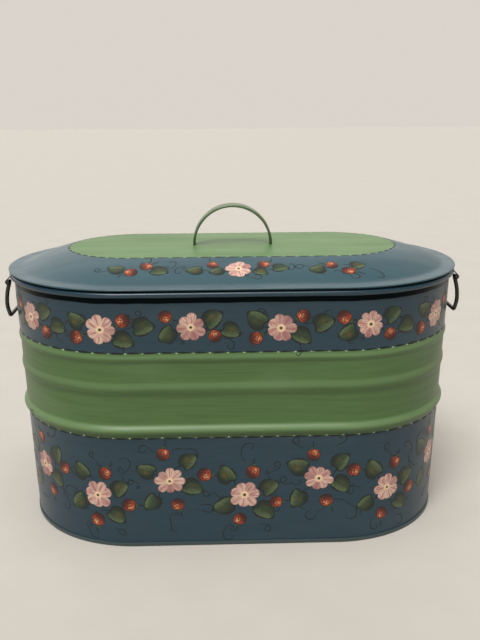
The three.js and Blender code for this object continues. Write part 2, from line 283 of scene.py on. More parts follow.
def both_sides(line: Section, thickness: float) -> Section:
    """Gives a line of section points a thickness, as a closed loop.

    Args:
        line: the middle line of the sheet.
        thickness: the sheet's thickness.

    Returns:
        The points up one face and back down the other.
    """
    outer: Section = []
    inner: Section = []
    for index, (x, y) in enumerate(line):
        before = Vector(line[max(index - 1, 0)])
        after = Vector(line[min(index + 1, len(line) - 1)])
        along = (after - before).normalized()
        across = Vector((-along.y, along.x)) * thickness / 2.0
        outer.append((x + across.x, y + across.y))
        inner.append((x - across.x, y - across.y))
    return outer + inner[::-1]


def arc_points(centre: tuple[float, float], radius: float, start: float, stop: float, steps: int) -> Section:
    """Points along an arc, with its angles in degrees.

    Args:
        centre: the middle of the arc.
        radius: its radius.
        start: its first angle.
        stop: its last angle.
        steps: how many straight pieces stand for it.

    Returns:
        The points, first to last.
    """
    angles = [math.radians(start + (stop - start) * i / steps) for i in range(steps + 1)]
    return [(centre[0] + radius * math.cos(a), centre[1] + radius * math.sin(a)) for a in angles]


def rounded_line(corners: Section, radius: float, steps: int = 4) -> Section:
    """Replaces the inner corners of a line with short curves.

    Args:
        corners: the line with sharp corners.
        radius: how far from a corner its curve starts.
        steps: straight pieces to each curve.

    Returns:
        The eased line.
    """
    points = [Vector(corner) for corner in corners]
    line: Section = [tuple(points[0])]
    for before, here, after in zip(points, points[1:], points[2:]):
        reach = min(radius, (before - here).length * 0.45, (after - here).length * 0.45)
        start = here + (before - here).normalized() * reach
        stop = here + (after - here).normalized() * reach
        for i in range(steps + 1):
            t = i / steps
            bend = start * (1 - t) ** 2 + here * (2 * t * (1 - t)) + stop * t ** 2
            line.append(tuple(bend))
    line.append(tuple(points[-1]))
    return line


def wire_along(route: Sequence[Vector], radius: float) -> bmesh.types.BMesh:
    """Bends a round wire along a smooth route, and rounds its ends.

    Args:
        route: the control points of the wire's middle line.
        radius: the wire's radius.

    Returns:
        The wire as a closed bmesh.
    """
    data = bpy.data.curves.new("wire_route", "CURVE")
    data.dimensions = "3D"
    data.bevel_depth = radius
    data.bevel_resolution = 4
    data.use_fill_caps = True
    spline = data.splines.new("NURBS")
    spline.points.add(len(route) - 1)
    for point, place in zip(spline.points, route):
        point.co = (*place, 1.0)
    spline.order_u = 4
    spline.use_endpoint_u = True
    spline.resolution_u = 8
    guide = bpy.data.objects.new("wire_route", data)
    bpy.context.scene.collection.objects.link(guide)
    bpy.context.view_layer.update()
    mesh = bpy.data.meshes.new_from_object(guide.evaluated_get(bpy.context.evaluated_depsgraph_get()))
    bpy.data.objects.remove(guide)
    bpy.data.curves.remove(data)
    shape = bmesh.new()
    shape.from_mesh(mesh)
    bpy.data.meshes.remove(mesh)
    heal(shape)
    ends = [edge for edge in shape.edges if edge.calc_face_angle(0.0) > math.radians(60.0)]
    bmesh.ops.bevel(shape, geom=ends, offset=radius * 0.35, segments=3, profile=0.5,
                    affect="EDGES", material=-1)
    return shape


# ---------------------------------------------------------------------------------------------
# Shader building
# ---------------------------------------------------------------------------------------------
class Value:
    """A shader socket that takes part in Python arithmetic."""

    def __init__(self, kit: "Kit", socket: bpy.types.NodeSocket) -> None:
        self.kit = kit
        self.socket = socket

    def __add__(self, other: Any) -> "Value":
        """Adds."""
        return self.kit.maths("ADD", self, other)

    def __sub__(self, other: Any) -> "Value":
        """Subtracts."""
        return self.kit.maths("SUBTRACT", self, other)

    def __rsub__(self, other: Any) -> "Value":
        """Subtracts from a number."""
        return self.kit.maths("SUBTRACT", other, self)

    def __mul__(self, other: Any) -> "Value":
        """Multiplies."""
        return self.kit.maths("MULTIPLY", self, other)

    def __truediv__(self, other: Any) -> "Value":
        """Divides."""
        return self.kit.maths("DIVIDE", self, other)

    def __gt__(self, other: Any) -> "Value":
        """One where this is the greater, else nought."""
        return self.kit.maths("GREATER_THAN", self, other)

    def __lt__(self, other: Any) -> "Value":
        """One where this is the smaller, else nought."""
        return self.kit.maths("LESS_THAN", self, other)

    def __abs__(self) -> "Value":
        """The size without its sign."""
        return self.kit.maths("ABSOLUTE", self)

    __radd__ = __add__
    __rmul__ = __mul__


class Kit:
    """Builds the nodes of one material, or of the world."""

    def __init__(self, owner: bpy.types.Material | bpy.types.World) -> None:
        """Starts an empty tree with an output, and a Principled or Background shader."""
        self.owner = owner
        owner.use_nodes = True
        self.tree = owner.node_tree
        self.tree.nodes.clear()
        is_world = isinstance(owner, bpy.types.World)
        self.shader = self.node("ShaderNodeBackground" if is_world else "ShaderNodeBsdfPrincipled")
        output = "ShaderNodeOutputWorld" if is_world else "ShaderNodeOutputMaterial"
        self.node(output, inputs={"Surface": self.shader.outputs[0]})

    @classmethod
    def material(cls, name: str) -> "Kit":
        """Starts a new material."""
        return cls(bpy.data.materials.new(name))

    def node(self, kind: str, settings: Mapping[str, Any] | None = None,
             inputs: Mapping[Any, Any] | None = None) -> bpy.types.Node:
        """Makes any node.

        Args:
            kind: the node's type.
            settings: attributes of the node, such as its operation, set first.
            inputs: values or links by socket name or number.

        Returns:
            The node.
        """
        made = self.tree.nodes.new(kind)
        for key, value in (settings or {}).items():
            setattr(made, key, value)
        for key, value in (inputs or {}).items():
            self.fill(made.inputs[key], value)
        return made

    def fill(self, socket: bpy.types.NodeSocket, value: Any) -> None:
        """Links a value to an input socket, or sets the socket to a plain number or colour.

        Args:
            socket: the input.
            value: a value, an output socket, a number or a colour.
        """
        if isinstance(value, Value):
            value = value.socket
        if isinstance(value, bpy.types.NodeSocket):
            self.tree.links.new(value, socket)
        elif isinstance(value, tuple) and socket.type == "RGBA":
            socket.default_value = (*value, 1.0)
        else:
            socket.default_value = value

    def maths(self, operation: str, *terms: Any) -> Value:
        """Adds one Math node."""
        made = self.node("ShaderNodeMath", {"operation": operation}, dict(enumerate(terms)))
        return Value(self, made.outputs[0])

    def larger(self, first: Value, second: Any) -> Value:
        """The larger of two values."""
        return self.maths("MAXIMUM", first, second)

    def length(self, x: Value, y: Value) -> Value:
        """The length of a flat vector."""
        return self.maths("SQRT", x * x + y * y)

    def clamp(self, value: Value) -> Value:
        """Keeps a value between nought and one."""
        return Value(self, self.node("ShaderNodeClamp", inputs={"Value": value}).outputs[0])

    def soft_step(self, value: Value, low: float, high: float) -> Value:
        """Rises smoothly from nought at low to one at high.

        Args:
            value: what to measure.
            low: where the rise starts.
            high: where it ends.

        Returns:
            The risen value.
        """
        made = self.node(
            "ShaderNodeMapRange", {"interpolation_type": "SMOOTHSTEP"},
            {"Value": value, "From Min": low, "From Max": high})
        return Value(self, made.outputs[0])

    def place(self, kind: str = "Object") -> tuple[Value, Value, Value]:
        """The object coordinates, or the world's directions, as three values."""
        source = self.node("ShaderNodeTexCoord").outputs[kind]
        parts = self.node("ShaderNodeSeparateXYZ", inputs={0: source})
        return tuple(Value(self, output) for output in parts.outputs)

    def noise(self, scale: tuple[float, float, float], detail: float = 3.0, roughness: float = 0.5) -> Value:
        """Noise on object coordinates, with its own scale along each axis.

        Args:
            scale: how fine it is along X, Y and Z.
            detail: how many finer layers it has.
            roughness: how strong the finer layers are.

        Returns:
            The noise, about a half on average.
        """
        source = self.node("ShaderNodeTexCoord").outputs["Object"]
        scaled = self.node("ShaderNodeMapping", inputs={"Vector": source, "Scale": scale})
        return self.noise_at(scaled.outputs[0], detail, roughness)

    def noise_at(self, vector: bpy.types.NodeSocket, detail: float, roughness: float = 0.5) -> Value:
        """Noise over any coordinates."""
        made = self.node("ShaderNodeTexNoise", inputs={
            "Vector": vector, "Scale": 1.0, "Detail": detail, "Roughness": roughness})
        return Value(self, made.outputs["Fac"])

    def mix(self, factor: Any, first: Any, second: Any) -> Value:
        """Mixes two colours."""
        made = self.node("ShaderNodeMix", {"data_type": "RGBA"}, {0: factor, 6: first, 7: second})
        return Value(self, made.outputs[2])

    def bump(self, height: Value, distance: float) -> Value:
        """A bumped normal from a height field, at full strength."""
        made = self.node("ShaderNodeBump", inputs={"Height": height, "Distance": distance, "Strength": 1.0})
        return Value(self, made.outputs[0])

    def dress(self, **sockets: Any) -> bpy.types.Material | bpy.types.World:
        """Sets the shader's sockets by name, with underscores for spaces, and returns the owner."""
        for key, value in sockets.items():
            self.fill(self.shader.inputs[key.replace("_", " ")], value)
        return self.owner


@dataclass(frozen=True)
class Paint:
    """A brushed-on paint: its body, thin and thick strokes, and its roughness."""

    body: Colour
    thin: Colour
    thick: Colour
    roughness: float

    def brushed(self, kit: Kit, streak: Value, blotch: Value) -> Value:
        """The paint's colour from a fine streak field and a broad blotch field."""
        streaked = kit.mix(kit.soft_step(streak, 0.38, 0.70), self.body, self.thick)
        return kit.mix(kit.soft_step(blotch, 0.48, 0.72) * 0.55, streaked, self.thin)


SLATE_BLUE = Paint((0.010, 0.036, 0.056), (0.020, 0.050, 0.068), (0.007, 0.030, 0.050), 0.32)
# The lid's blue and green are set lighter than the wall's to stand for the stronger light on the lid: painted
# light.
LID_BLUE_LIGHTENED = Paint((0.026, 0.070, 0.090), (0.042, 0.090, 0.108), (0.020, 0.060, 0.078), 0.38)
MOSS_GREEN = Paint((0.062, 0.128, 0.036), (0.086, 0.160, 0.060), (0.050, 0.108, 0.028), 0.42)
LID_GREEN_LIGHTENED = Paint((0.070, 0.158, 0.038), (0.092, 0.188, 0.056), (0.058, 0.138, 0.030), 0.46)
PAN_GREY: Colour = (0.052, 0.074, 0.068)
NEAR_BLACK: Colour = (0.004, 0.006, 0.007)


@dataclass(frozen=True)
class HouseholdPaint:
    """The blue and green household paint on the sheet metal."""

    name: str
    on_lid: bool
    blue: Paint
    green: Paint

    def green_mask(self, kit: Kit) -> Value:
        """One where the green paint lies, with a hand-painted wavering edge.

        Args:
            kit: the material's kit.

        Returns:
            The mask.
        """
        x, y, z = kit.place()
        waver = (kit.noise((55.0, 55.0, 20.0), 2.0) - 0.5) * (1.6 * MM)
        if self.on_lid:
            reach = kit.length(kit.larger(abs(x) - HALF_STRAIGHT, 0.0), y)
            return (reach + waver) < PLATEAU_RADIUS
        return ((z + waver) > GREEN_LOW_Z) * ((z + waver) < GREEN_HIGH_Z)

    def paint_bead_light_and_shade(self, kit: Kit, colour: Value, z: Value, streak: Value) -> Value:
        """Paints a pale highlight on the beads' upper faces and a dark painted shade under them.

        Args:
            kit: the material's kit.
            colour: the colour so far.
            z: the height.
            streak: the brush streaks.

        Returns:
            The colour with the painted highlights and shade.
        """
        for bead in BEADS:
            strength = 0.14 + 0.26 * bead.proud / BEADS[0].proud
            share = (z - (bead.low + bead.high) / 2.0) / ((bead.high - bead.low) / 2.0)
            share = share + (streak - 0.5) * 0.25
            # Painted highlight on each bead's upper face, and painted shade in the crease below it.
            bead_painted_highlight = 1.0 - kit.soft_step(abs(share - 0.40), 0.15, 0.60)
            bead_painted_shade = 1.0 - kit.soft_step(abs(share + 0.80), 0.10, 0.45)
            colour = kit.mix(bead_painted_highlight * strength, colour, (0.155, 0.235, 0.120))
            colour = kit.mix(bead_painted_shade * strength, colour, (0.016, 0.034, 0.012))
        return colour

    def build(self) -> bpy.types.Material:
        """Makes the material."""
        kit = Kit.material(self.name)
        flat_way = (9.0, 60.0, 60.0) if self.on_lid else (14.0, 14.0, 420.0)
        streak = kit.noise(flat_way, 5.0, 0.6)
        broad = kit.noise((7.0, 7.0, 26.0), 3.0, 0.55)
        grit = kit.noise((1900.0, 1900.0, 1900.0), 2.0)
        green = self.green_mask(kit)
        colour = kit.mix(green, self.blue.brushed(kit, streak, broad), self.green.brushed(kit, streak, broad))
        z = kit.place()[2]
        under_rim_black: Value | float = 0.0
        if not self.on_lid:
            colour = self.paint_bead_light_and_shade(kit, colour, z, streak)
            # A near-black band under the rim roll, metallic so that it shows almost no reflection.
            waver = (kit.noise((30.0, 30.0, 8.0), 2.0) - 0.5) * (2.4 * MM)
            under_rim_black = kit.soft_step(z + waver, BLACK_LOW_Z - 0.4 * MM, BLACK_LOW_Z + 0.6 * MM)
            under_rim_black = under_rim_black * ((z + waver) < (RIM_Z - 2.2 * MM))
            colour = kit.mix(under_rim_black, colour, NEAR_BLACK)
            foot = 1.0 - kit.soft_step(z, 4.2 * MM, 5.4 * MM)
            colour = kit.mix(foot * 0.6, colour, PAN_GREY)
        edge_z = (LID_LOW.z + 1.2 * MM) if self.on_lid else (RIM_Z - 0.4 * MM)
        near_edge = 1.0 - kit.soft_step(abs(z - edge_z), 0.6 * MM, 3.4 * MM)
        chips = kit.soft_step(kit.noise((150.0, 150.0, 260.0), 4.0, 0.7) + near_edge * 0.055, 0.735, 0.75)
        specks = kit.soft_step(kit.noise((420.0, 420.0, 420.0), 1.0), 0.825, 0.84)
        colour = kit.mix(specks * 0.45, colour, (0.20, 0.22, 0.20))
        colour = kit.mix(chips, colour, NEAR_BLACK)
        rough = green * (self.green.roughness - self.blue.roughness) + self.blue.roughness
        rough = rough + (streak - 0.5) * 0.16 + (grit - 0.5) * 0.06
        height = streak * 0.55 + grit * 0.12 - chips * 0.8 + broad * 2.2
        return kit.dress(
            Base_Color=colour, Roughness=kit.clamp(rough), Metallic=under_rim_black,
            Normal=kit.bump(height, 0.10 * MM), IOR=1.5)


@dataclass(frozen=True)
class DullTin:
    """Plain tinned steel, faintly rolled and stained, for what isn't painted."""

    name: str

    def build(self) -> bpy.types.Material:
        """Makes the material."""
        kit = Kit.material(self.name)
        rolled = kit.noise((30.0, 30.0, 900.0), 4.0, 0.6)
        stain = kit.noise((22.0, 22.0, 22.0), 5.0, 0.65)
        colour = kit.mix(kit.soft_step(stain, 0.42, 0.72), (0.50, 0.50, 0.49), (0.27, 0.25, 0.22))
        rough = rolled * 0.22 + stain * 0.2 + 0.16
        return kit.dress(Base_Color=colour, Metallic=0.92, Roughness=kit.clamp(rough),
                         Normal=kit.bump(rolled + stain, 0.05 * MM))


@dataclass(frozen=True)
class StovedBlack:
    """Glossy black enamel on bent wire, worn where hands lift it."""

    name: str

    def build(self) -> bpy.types.Material:
        """Makes the material."""
        kit = Kit.material(self.name)
        grit = kit.noise((1400.0, 1400.0, 1400.0), 3.0)
        drag = kit.noise((160.0, 60.0, 160.0), 4.0, 0.6)
        worn = kit.soft_step(kit.noise((240.0, 90.0, 240.0), 5.0, 0.7), 0.66, 0.70)
        colour = kit.mix(kit.soft_step(drag, 0.4, 0.7), (0.008, 0.009, 0.010), (0.018, 0.019, 0.020))
        colour = kit.mix(worn * 0.6, colour, (0.10, 0.095, 0.088))
        rough = drag * 0.22 + worn * 0.15 + 0.14
        return kit.dress(Base_Color=colour, Roughness=kit.clamp(rough), Metallic=worn * 0.5,
                         Normal=kit.bump(grit * 0.25 + drag, 0.05 * MM), IOR=1.5)


@dataclass(frozen=True)
class HandlePaint:
    """The grey-green paint on the strap handle, with painted shade along its hems."""

    name: str

    def build(self) -> bpy.types.Material:
        """Makes the material."""
        kit = Kit.material(self.name)
        streak = kit.noise((260.0, 90.0, 260.0), 4.0, 0.6)
        broad = kit.noise((45.0, 45.0, 45.0), 3.0)
        colour = MOSS_GREEN.brushed(kit, streak, broad)
        colour = kit.mix(0.35, colour, (0.110, 0.130, 0.092))
        y = kit.place()[1]
        # Painted shade: darker streaks that gather towards the strap's hemmed edges.
        hem_painted_shade = kit.soft_step(streak + abs(y) * 14.0, 0.80, 0.88)
        colour = kit.mix(hem_painted_shade * 0.35, colour, (0.055, 0.072, 0.043))
        rough = (streak - 0.5) * 0.2 + 0.42
        return kit.dress(Base_Color=colour, Roughness=kit.clamp(rough),
                         Normal=kit.bump(streak + broad, 0.06 * MM), IOR=1.5)


class Stroke(Enum):
    """The kinds of painted mark, each in its own layer of paint."""

    LEAF = "leaves"
    LINE = "linework"
    DOT = "edge_dots"
    BERRY = "berries"
    PETAL = "petals"
    EYE = "flower_eyes"


MARK_MAP = "Mark"
TONE_MAP = "Tone"
SEED_SPREAD = 37.0


@dataclass(frozen=True)
class Mark:
    """Where a point lies in its painted mark, with the mark's own tone and seed."""

    kit: Kit
    u: Value
    v: Value
    tone: Value
    seed: Value

    @classmethod
    def read(cls, kit: Kit) -> "Mark":
        """Reads the two coordinate maps that every layer of marks has."""
        values: list[Value] = []
        for name in (MARK_MAP, TONE_MAP):
            source = kit.node("ShaderNodeUVMap", {"uv_map": name}).outputs[0]
            parts = kit.node("ShaderNodeSeparateXYZ", inputs={0: source})
            values += [Value(kit, output) for output in parts.outputs[:2]]
        return cls(kit, *values)

    def noise(self, across: float, along: float, detail: float = 2.0) -> Value:
        """Noise that follows the stroke and differs from mark to mark."""
        vector = self.kit.node("ShaderNodeCombineXYZ", inputs={
            0: self.u * across, 1: self.v * along, 2: self.seed * SEED_SPREAD})
        return self.kit.noise_at(vector.outputs[0], detail)

    def edge(self) -> Value:
        """Nought at the mark's middle and one all along its edge."""
        return self.kit.larger(abs(self.u), abs(self.v))


@dataclass(frozen=True)
class CraftPaint:
    """The thick craft paint of one kind of mark, shaded by the mark's own coordinates."""

    stroke: Stroke

    def petal(self, mark: Mark) -> tuple[Value, Value]:
        """Pink strokes with a cream heart, a folded middle and a dusky rim.

        Args:
            mark: where the point lies.

        Returns:
            The colour and the bristle marks.
        """
        kit, u, v, tone = mark.kit, mark.u, mark.v, mark.tone
        bristle = mark.noise(5.0, 0.7, 3.0)
        crimson = tone * kit.soft_step(bristle, 0.30, 0.55)
        colour = kit.mix(crimson, (0.37, 0.172, 0.160), (0.17, 0.018, 0.040))
        pale = kit.soft_step(bristle + abs(u) * 0.12, 0.44, 0.60)
        colour = kit.mix(pale * (1.0 - tone * 0.6) * 0.85, colour, (0.62, 0.45, 0.355))
        fold = kit.soft_step(0.16 - abs(u + (bristle - 0.5) * 0.5), 0.0, 0.16)
        colour = kit.mix(fold * kit.soft_step(0.75 - v, 0.0, 1.0) * 0.6, colour, (0.33, 0.105, 0.095))
        rim = kit.soft_step(mark.edge(), 0.80, 1.0)
        colour = kit.mix(rim * 0.6, colour, (0.16, 0.060, 0.062))
        heart = kit.soft_step(-0.30 - v, 0.0, 0.5)
        colour = kit.mix(heart * 0.7, colour, (0.74, 0.56, 0.40))
        return colour, bristle

    def leaf(self, mark: Mark) -> tuple[Value, Value]:
        """Dark green with one lit half, a warm middle, dark veins and a dark outline.

        Args:
            mark: where the point lies.

        Returns:
            The colour and the bristle marks.
        """
        kit, u, v, tone = mark.kit, mark.u, mark.v, mark.tone
        bristle = mark.noise(3.0, 3.0, 3.0)
        colour = kit.mix(bristle, (0.007, 0.024, 0.010), (0.020, 0.046, 0.016))
        lit = kit.soft_step(u + v * 0.45 + (bristle - 0.5) * 0.7, -0.15, 0.85)
        colour = kit.mix(lit * 0.85, colour, (0.080, 0.118, 0.050))
        warm = kit.soft_step(0.85 - abs(u + 0.1) - abs(v), 0.0, 1.0)
        colour = kit.mix(warm * tone * 0.8, colour, (0.110, 0.070, 0.010))
        rib = kit.soft_step(0.055 - abs(u), 0.0, 0.04)
        veins = kit.soft_step(kit.maths("SINE", (v - abs(u) * 0.8) * 13.0), 0.90, 0.99)
        colour = kit.mix(kit.larger(rib * 0.8, veins * 0.5), colour, (0.008, 0.018, 0.010))
        dark_side = kit.soft_step(-0.25 - u - v * 0.5, 0.0, 0.6)
        outline = kit.soft_step(mark.edge() + (bristle - 0.5) * 0.2, 0.74, 0.86)
        colour = kit.mix(kit.larger(dark_side * 0.75, outline), colour, (0.002, 0.006, 0.006))
        return colour, bristle

    def berry(self, mark: Mark) -> tuple[Value, Value]:
        """A round red berry with a lit shoulder, dark foot and seed dots.

        Args:
            mark: where the point lies.

        Returns:
            The colour and the bristle marks.
        """
        kit, u, v = mark.kit, mark.u, mark.v
        bristle = mark.noise(3.2, 3.2)
        lit = kit.soft_step(v * 0.75 + u * 0.45 + (bristle - 0.5) * 0.8, -0.65, 0.75)
        colour = kit.mix(lit, (0.040, 0.004, 0.003), (0.36, 0.046, 0.012))
        vector = kit.node("ShaderNodeCombineXYZ", inputs={0: u * 2.5, 1: v * 2.5})
        cells = kit.node("ShaderNodeTexVoronoi", {"voronoi_dimensions": "2D"},
                         {"Vector": vector.outputs[0], "Scale": 1.0, "Randomness": 0.6})
        seeds = kit.soft_step(0.34 - Value(kit, cells.outputs["Distance"]), 0.0, 0.10)
        shine = kit.soft_step(0.54 - kit.length(u - 0.30, v - 0.30), 0.0, 0.40)
        colour = kit.mix(shine * kit.soft_step(bristle, 0.35, 0.6) * 0.85, colour, (0.70, 0.36, 0.17))
        colour = kit.mix(seeds * 0.85, colour, (0.022, 0.006, 0.004))
        rim = kit.soft_step(mark.edge(), 0.74, 0.96)
        colour = kit.mix(rim * 0.9, colour, (0.010, 0.006, 0.005))
        return colour, bristle

    def eye(self, mark: Mark) -> tuple[Value, Value]:
        """A cream heart round a dark olive dot.

        Args:
            mark: where the point lies.

        Returns:
            The colour and the bristle marks.
        """
        kit = mark.kit
        bristle = mark.noise(4.0, 4.0)
        reach = kit.length(mark.u, mark.v) + (bristle - 0.5) * 0.35
        colour = kit.mix(kit.soft_step(reach, 0.26, 0.50), (0.050, 0.045, 0.016), (0.72, 0.56, 0.36))
        colour = kit.mix(kit.soft_step(reach, 0.60, 0.90) * 0.7, colour, (0.60, 0.33, 0.24))
        return colour, bristle

    def plain(self, mark: Mark) -> tuple[Value, Value]:
        """One colour of paint, thinner in places.

        Args:
            mark: where the point lies.

        Returns:
            The colour and the bristle marks.
        """
        bristle = mark.noise(3.0, 2.0)
        pair = {
            Stroke.LINE: ((0.001, 0.004, 0.006), (0.004, 0.013, 0.019)),
            Stroke.DOT: ((0.33, 0.46, 0.27), (0.20, 0.30, 0.15)),
        }[self.stroke]
        return mark.kit.mix(mark.kit.soft_step(bristle, 0.45, 0.8), *pair), bristle

    def build(self) -> bpy.types.Material:
        """Makes the material."""
        kit = Kit.material("craft_paint_" + self.stroke.value)
        recipes: dict[Stroke, Callable[[Mark], tuple[Value, Value]]] = {
            Stroke.PETAL: self.petal, Stroke.LEAF: self.leaf, Stroke.BERRY: self.berry,
            Stroke.EYE: self.eye, Stroke.LINE: self.plain, Stroke.DOT: self.plain}
        colour, bristle = recipes[self.stroke](Mark.read(kit))
        rough = bristle * 0.2 + (0.5 if self.stroke is Stroke.LINE else 0.27)
        return kit.dress(Base_Color=colour, Roughness=rough, Normal=kit.bump(bristle, 0.12 * MM), IOR=1.5)


# ---------------------------------------------------------------------------------------------
# Painted marks
# ---------------------------------------------------------------------------------------------
Warp = Callable[[float, float], tuple[float, float]]
Skin = Callable[[float, float, float], Vector]


def disc(u: float, v: float) -> tuple[float, float]:
    """Rounds a square's point into a unit disc."""
    return u * math.sqrt(1.0 - v * v / 2.0), v * math.sqrt(1.0 - u * u / 2.0)


def petal_shape(u: float, v: float) -> tuple[float, float]:
    """A petal from the origin up, narrow at its foot and round at its tip."""
    x, y = disc(u, v)
    share = (y + 1.0) / 2.0
    return x * (0.42 + 0.86 * share), share


def leaf_shape(u: float, v: float) -> tuple[float, float]:
    """A broad leaf with a dent at its base, a pointed tip and a slightly bent midrib."""
    x, y = disc(u, v)
    tip = max(0.0, y)
    dent = 0.28 * max(0.0, -y) * max(0.0, 1.0 - 2.2 * abs(x))
    return x * (0.92 - 0.20 * y) * (1.0 - 0.42 * tip * tip) + 0.10 * y * y, y * 1.04 + dent


def dash_shape(u: float, v: float) -> tuple[float, float]:
    """A short brush dash along X, thin at its ends."""
    x, y = disc(u, v)
    return x, y * (1.0 - 0.45 * x)


@dataclass(frozen=True)
class Flourish:
    """A fine painted line that sways as it runs and curls up at its end."""

    length: float
    sway: float = 0.4
    curl: float = 0.0
    width: float = 0.50 * MM
    steps: int = 14

    def shape(self) -> Warp:
        """Makes the warp that lays a strip along the line."""
        points = [Vector((0.0, 0.0))]
        fine = 4 * self.steps
        for i in range(fine):
            share = (i + 0.5) / fine
            heading = self.sway * math.sin(2.0 * math.pi * share) + 2.0 * math.pi * self.curl * share ** 2
            points.append(points[-1] + Vector((math.cos(heading), math.sin(heading))) * self.length / fine)

        def warp(u: float, v: float) -> tuple[float, float]:
            """Maps u along the line and v across it."""
            index = min(fine, max(0, round((u + 1.0) / 2.0 * fine)))
            before, after = points[max(index - 1, 0)], points[min(index + 1, fine)]
            along = (after - before).normalized()
            half = self.width * (0.45 + 0.55 * math.sin(math.pi * index / fine))
            return points[index].x - along.y * v * half, points[index].y + along.x * v * half

        return warp


@dataclass
class PaintLayer:
    """All the marks of one kind on one body, as one thin piece."""

    stroke: Stroke
    body: Body
    lift: float
    dome: float
    shape: bmesh.types.BMesh = field(default_factory=bmesh.new)

    def __post_init__(self) -> None:
        """Adds the layers that hold each mark's own coordinates and tone."""
        self.mark_uv = self.shape.loops.layers.uv.new(MARK_MAP)
        self.tone_uv = self.shape.loops.layers.uv.new(TONE_MAP)

    def lay(self, skin: Skin, centre: tuple[float, float], turn: float, size: tuple[float, float],
            warp: Warp, grid: tuple[int, int] = (6, 6), tone: float = 0.0, seed: float = 0.0) -> None:
        """Paints one mark.

        Args:
            skin: finds a point of the painted surface from (along, up, lift).
            centre: where the mark's origin lies on the skin.
            turn: the mark's turn in degrees, anticlockwise.
            size: the mark's width and height.
            warp: shapes the mark from a square.
            grid: cells across and along the square.
            tone: how deep its colour is, from nought to one.
            seed: sets its bristle marks apart from its neighbours'.
        """
        made = bmesh.ops.create_grid(self.shape, x_segments=grid[0], y_segments=grid[1], size=1.0)
        spin = Matrix.Rotation(math.radians(turn), 2)
        square = {point: (point.co.x, point.co.y) for point in made["verts"]}
        for point, (u, v) in square.items():
            x, y = warp(u, v)
            offset = spin @ Vector((x * size[0], y * size[1]))
            rise = self.dome * (1.0 - u * u) * (1.0 - v * v)
            point.co = skin(centre[0] + offset.x, centre[1] + offset.y, self.lift + rise)
        for face in {face for point in square for face in point.link_faces}:
            for loop in face.loops:
                loop[self.mark_uv].uv = square[loop.vert]
                loop[self.tone_uv].uv = (tone, seed)

    def finish(self, material: bpy.types.Material, slot: str) -> bpy.types.Object:
        """Gives the layer its thickness and makes it a piece.

        Args:
            material: the craft paint.
            slot: the material slot in the record.

        Returns:
            The piece.
        """
        bmesh.ops.recalc_face_normals(self.shape, faces=self.shape.faces)
        thick = self.lift - 0.02 * MM
        bmesh.ops.solidify(self.shape, geom=self.shape.faces, thickness=thick)
        return deliver(self.shape, f"{self.body.value}_{self.stroke.value}", self.body, slot, [material])


def deliver(shape: bmesh.types.BMesh, name: str, body: Body, slot: str,
            materials: Iterable[bpy.types.Material], stands_for: Sequence[str] = (),
            smooth_deg: float = 50.0) -> bpy.types.Object:
    """Makes a piece, hangs it on its body and hides the CAD nodes that it replaces.

    Args:
        shape: the piece's finished bmesh, which is freed.
        name: the piece's name.
        body: what it rides on.
        slot: not used; named as its material slot in the record.
        materials: its materials, in the order of the faces' indices.
        stands_for: the CAD nodes that it replaces.
        smooth_deg: edges sharper than this stay crisp.

    Returns:
        The piece.
    """
    piece = finish_mesh(shape, name, smooth_deg)
    for material in materials:
        piece.data.materials.append(material)
    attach(piece, body.value)
    if stands_for:
        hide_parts(*stands_for)
    LOG.info("%s: %d faces on %s", piece.name, len(piece.data.polygons), body.value)
    return piece


# ---------------------------------------------------------------------------------------------
# Sub-assemblies
# ---------------------------------------------------------------------------------------------
@dataclass
class Finishes:
    """The materials that the pieces share."""

    tub_paint: bpy.types.Material = field(
        default_factory=HouseholdPaint("tub_paint", False, SLATE_BLUE, MOSS_GREEN).build)
    # The lid's paints are lighter copies of the wall's, as painted light.
    lid_paint: bpy.types.Material = field(
        default_factory=HouseholdPaint("lid_paint", True, LID_BLUE_LIGHTENED, LID_GREEN_LIGHTENED).build)
    tin: bpy.types.Material = field(default_factory=DullTin("dull_tin").build)
    black: bpy.types.Material = field(default_factory=StovedBlack("stoved_black").build)
    handle: bpy.types.Material = field(default_factory=HandlePaint("handle_paint").build)


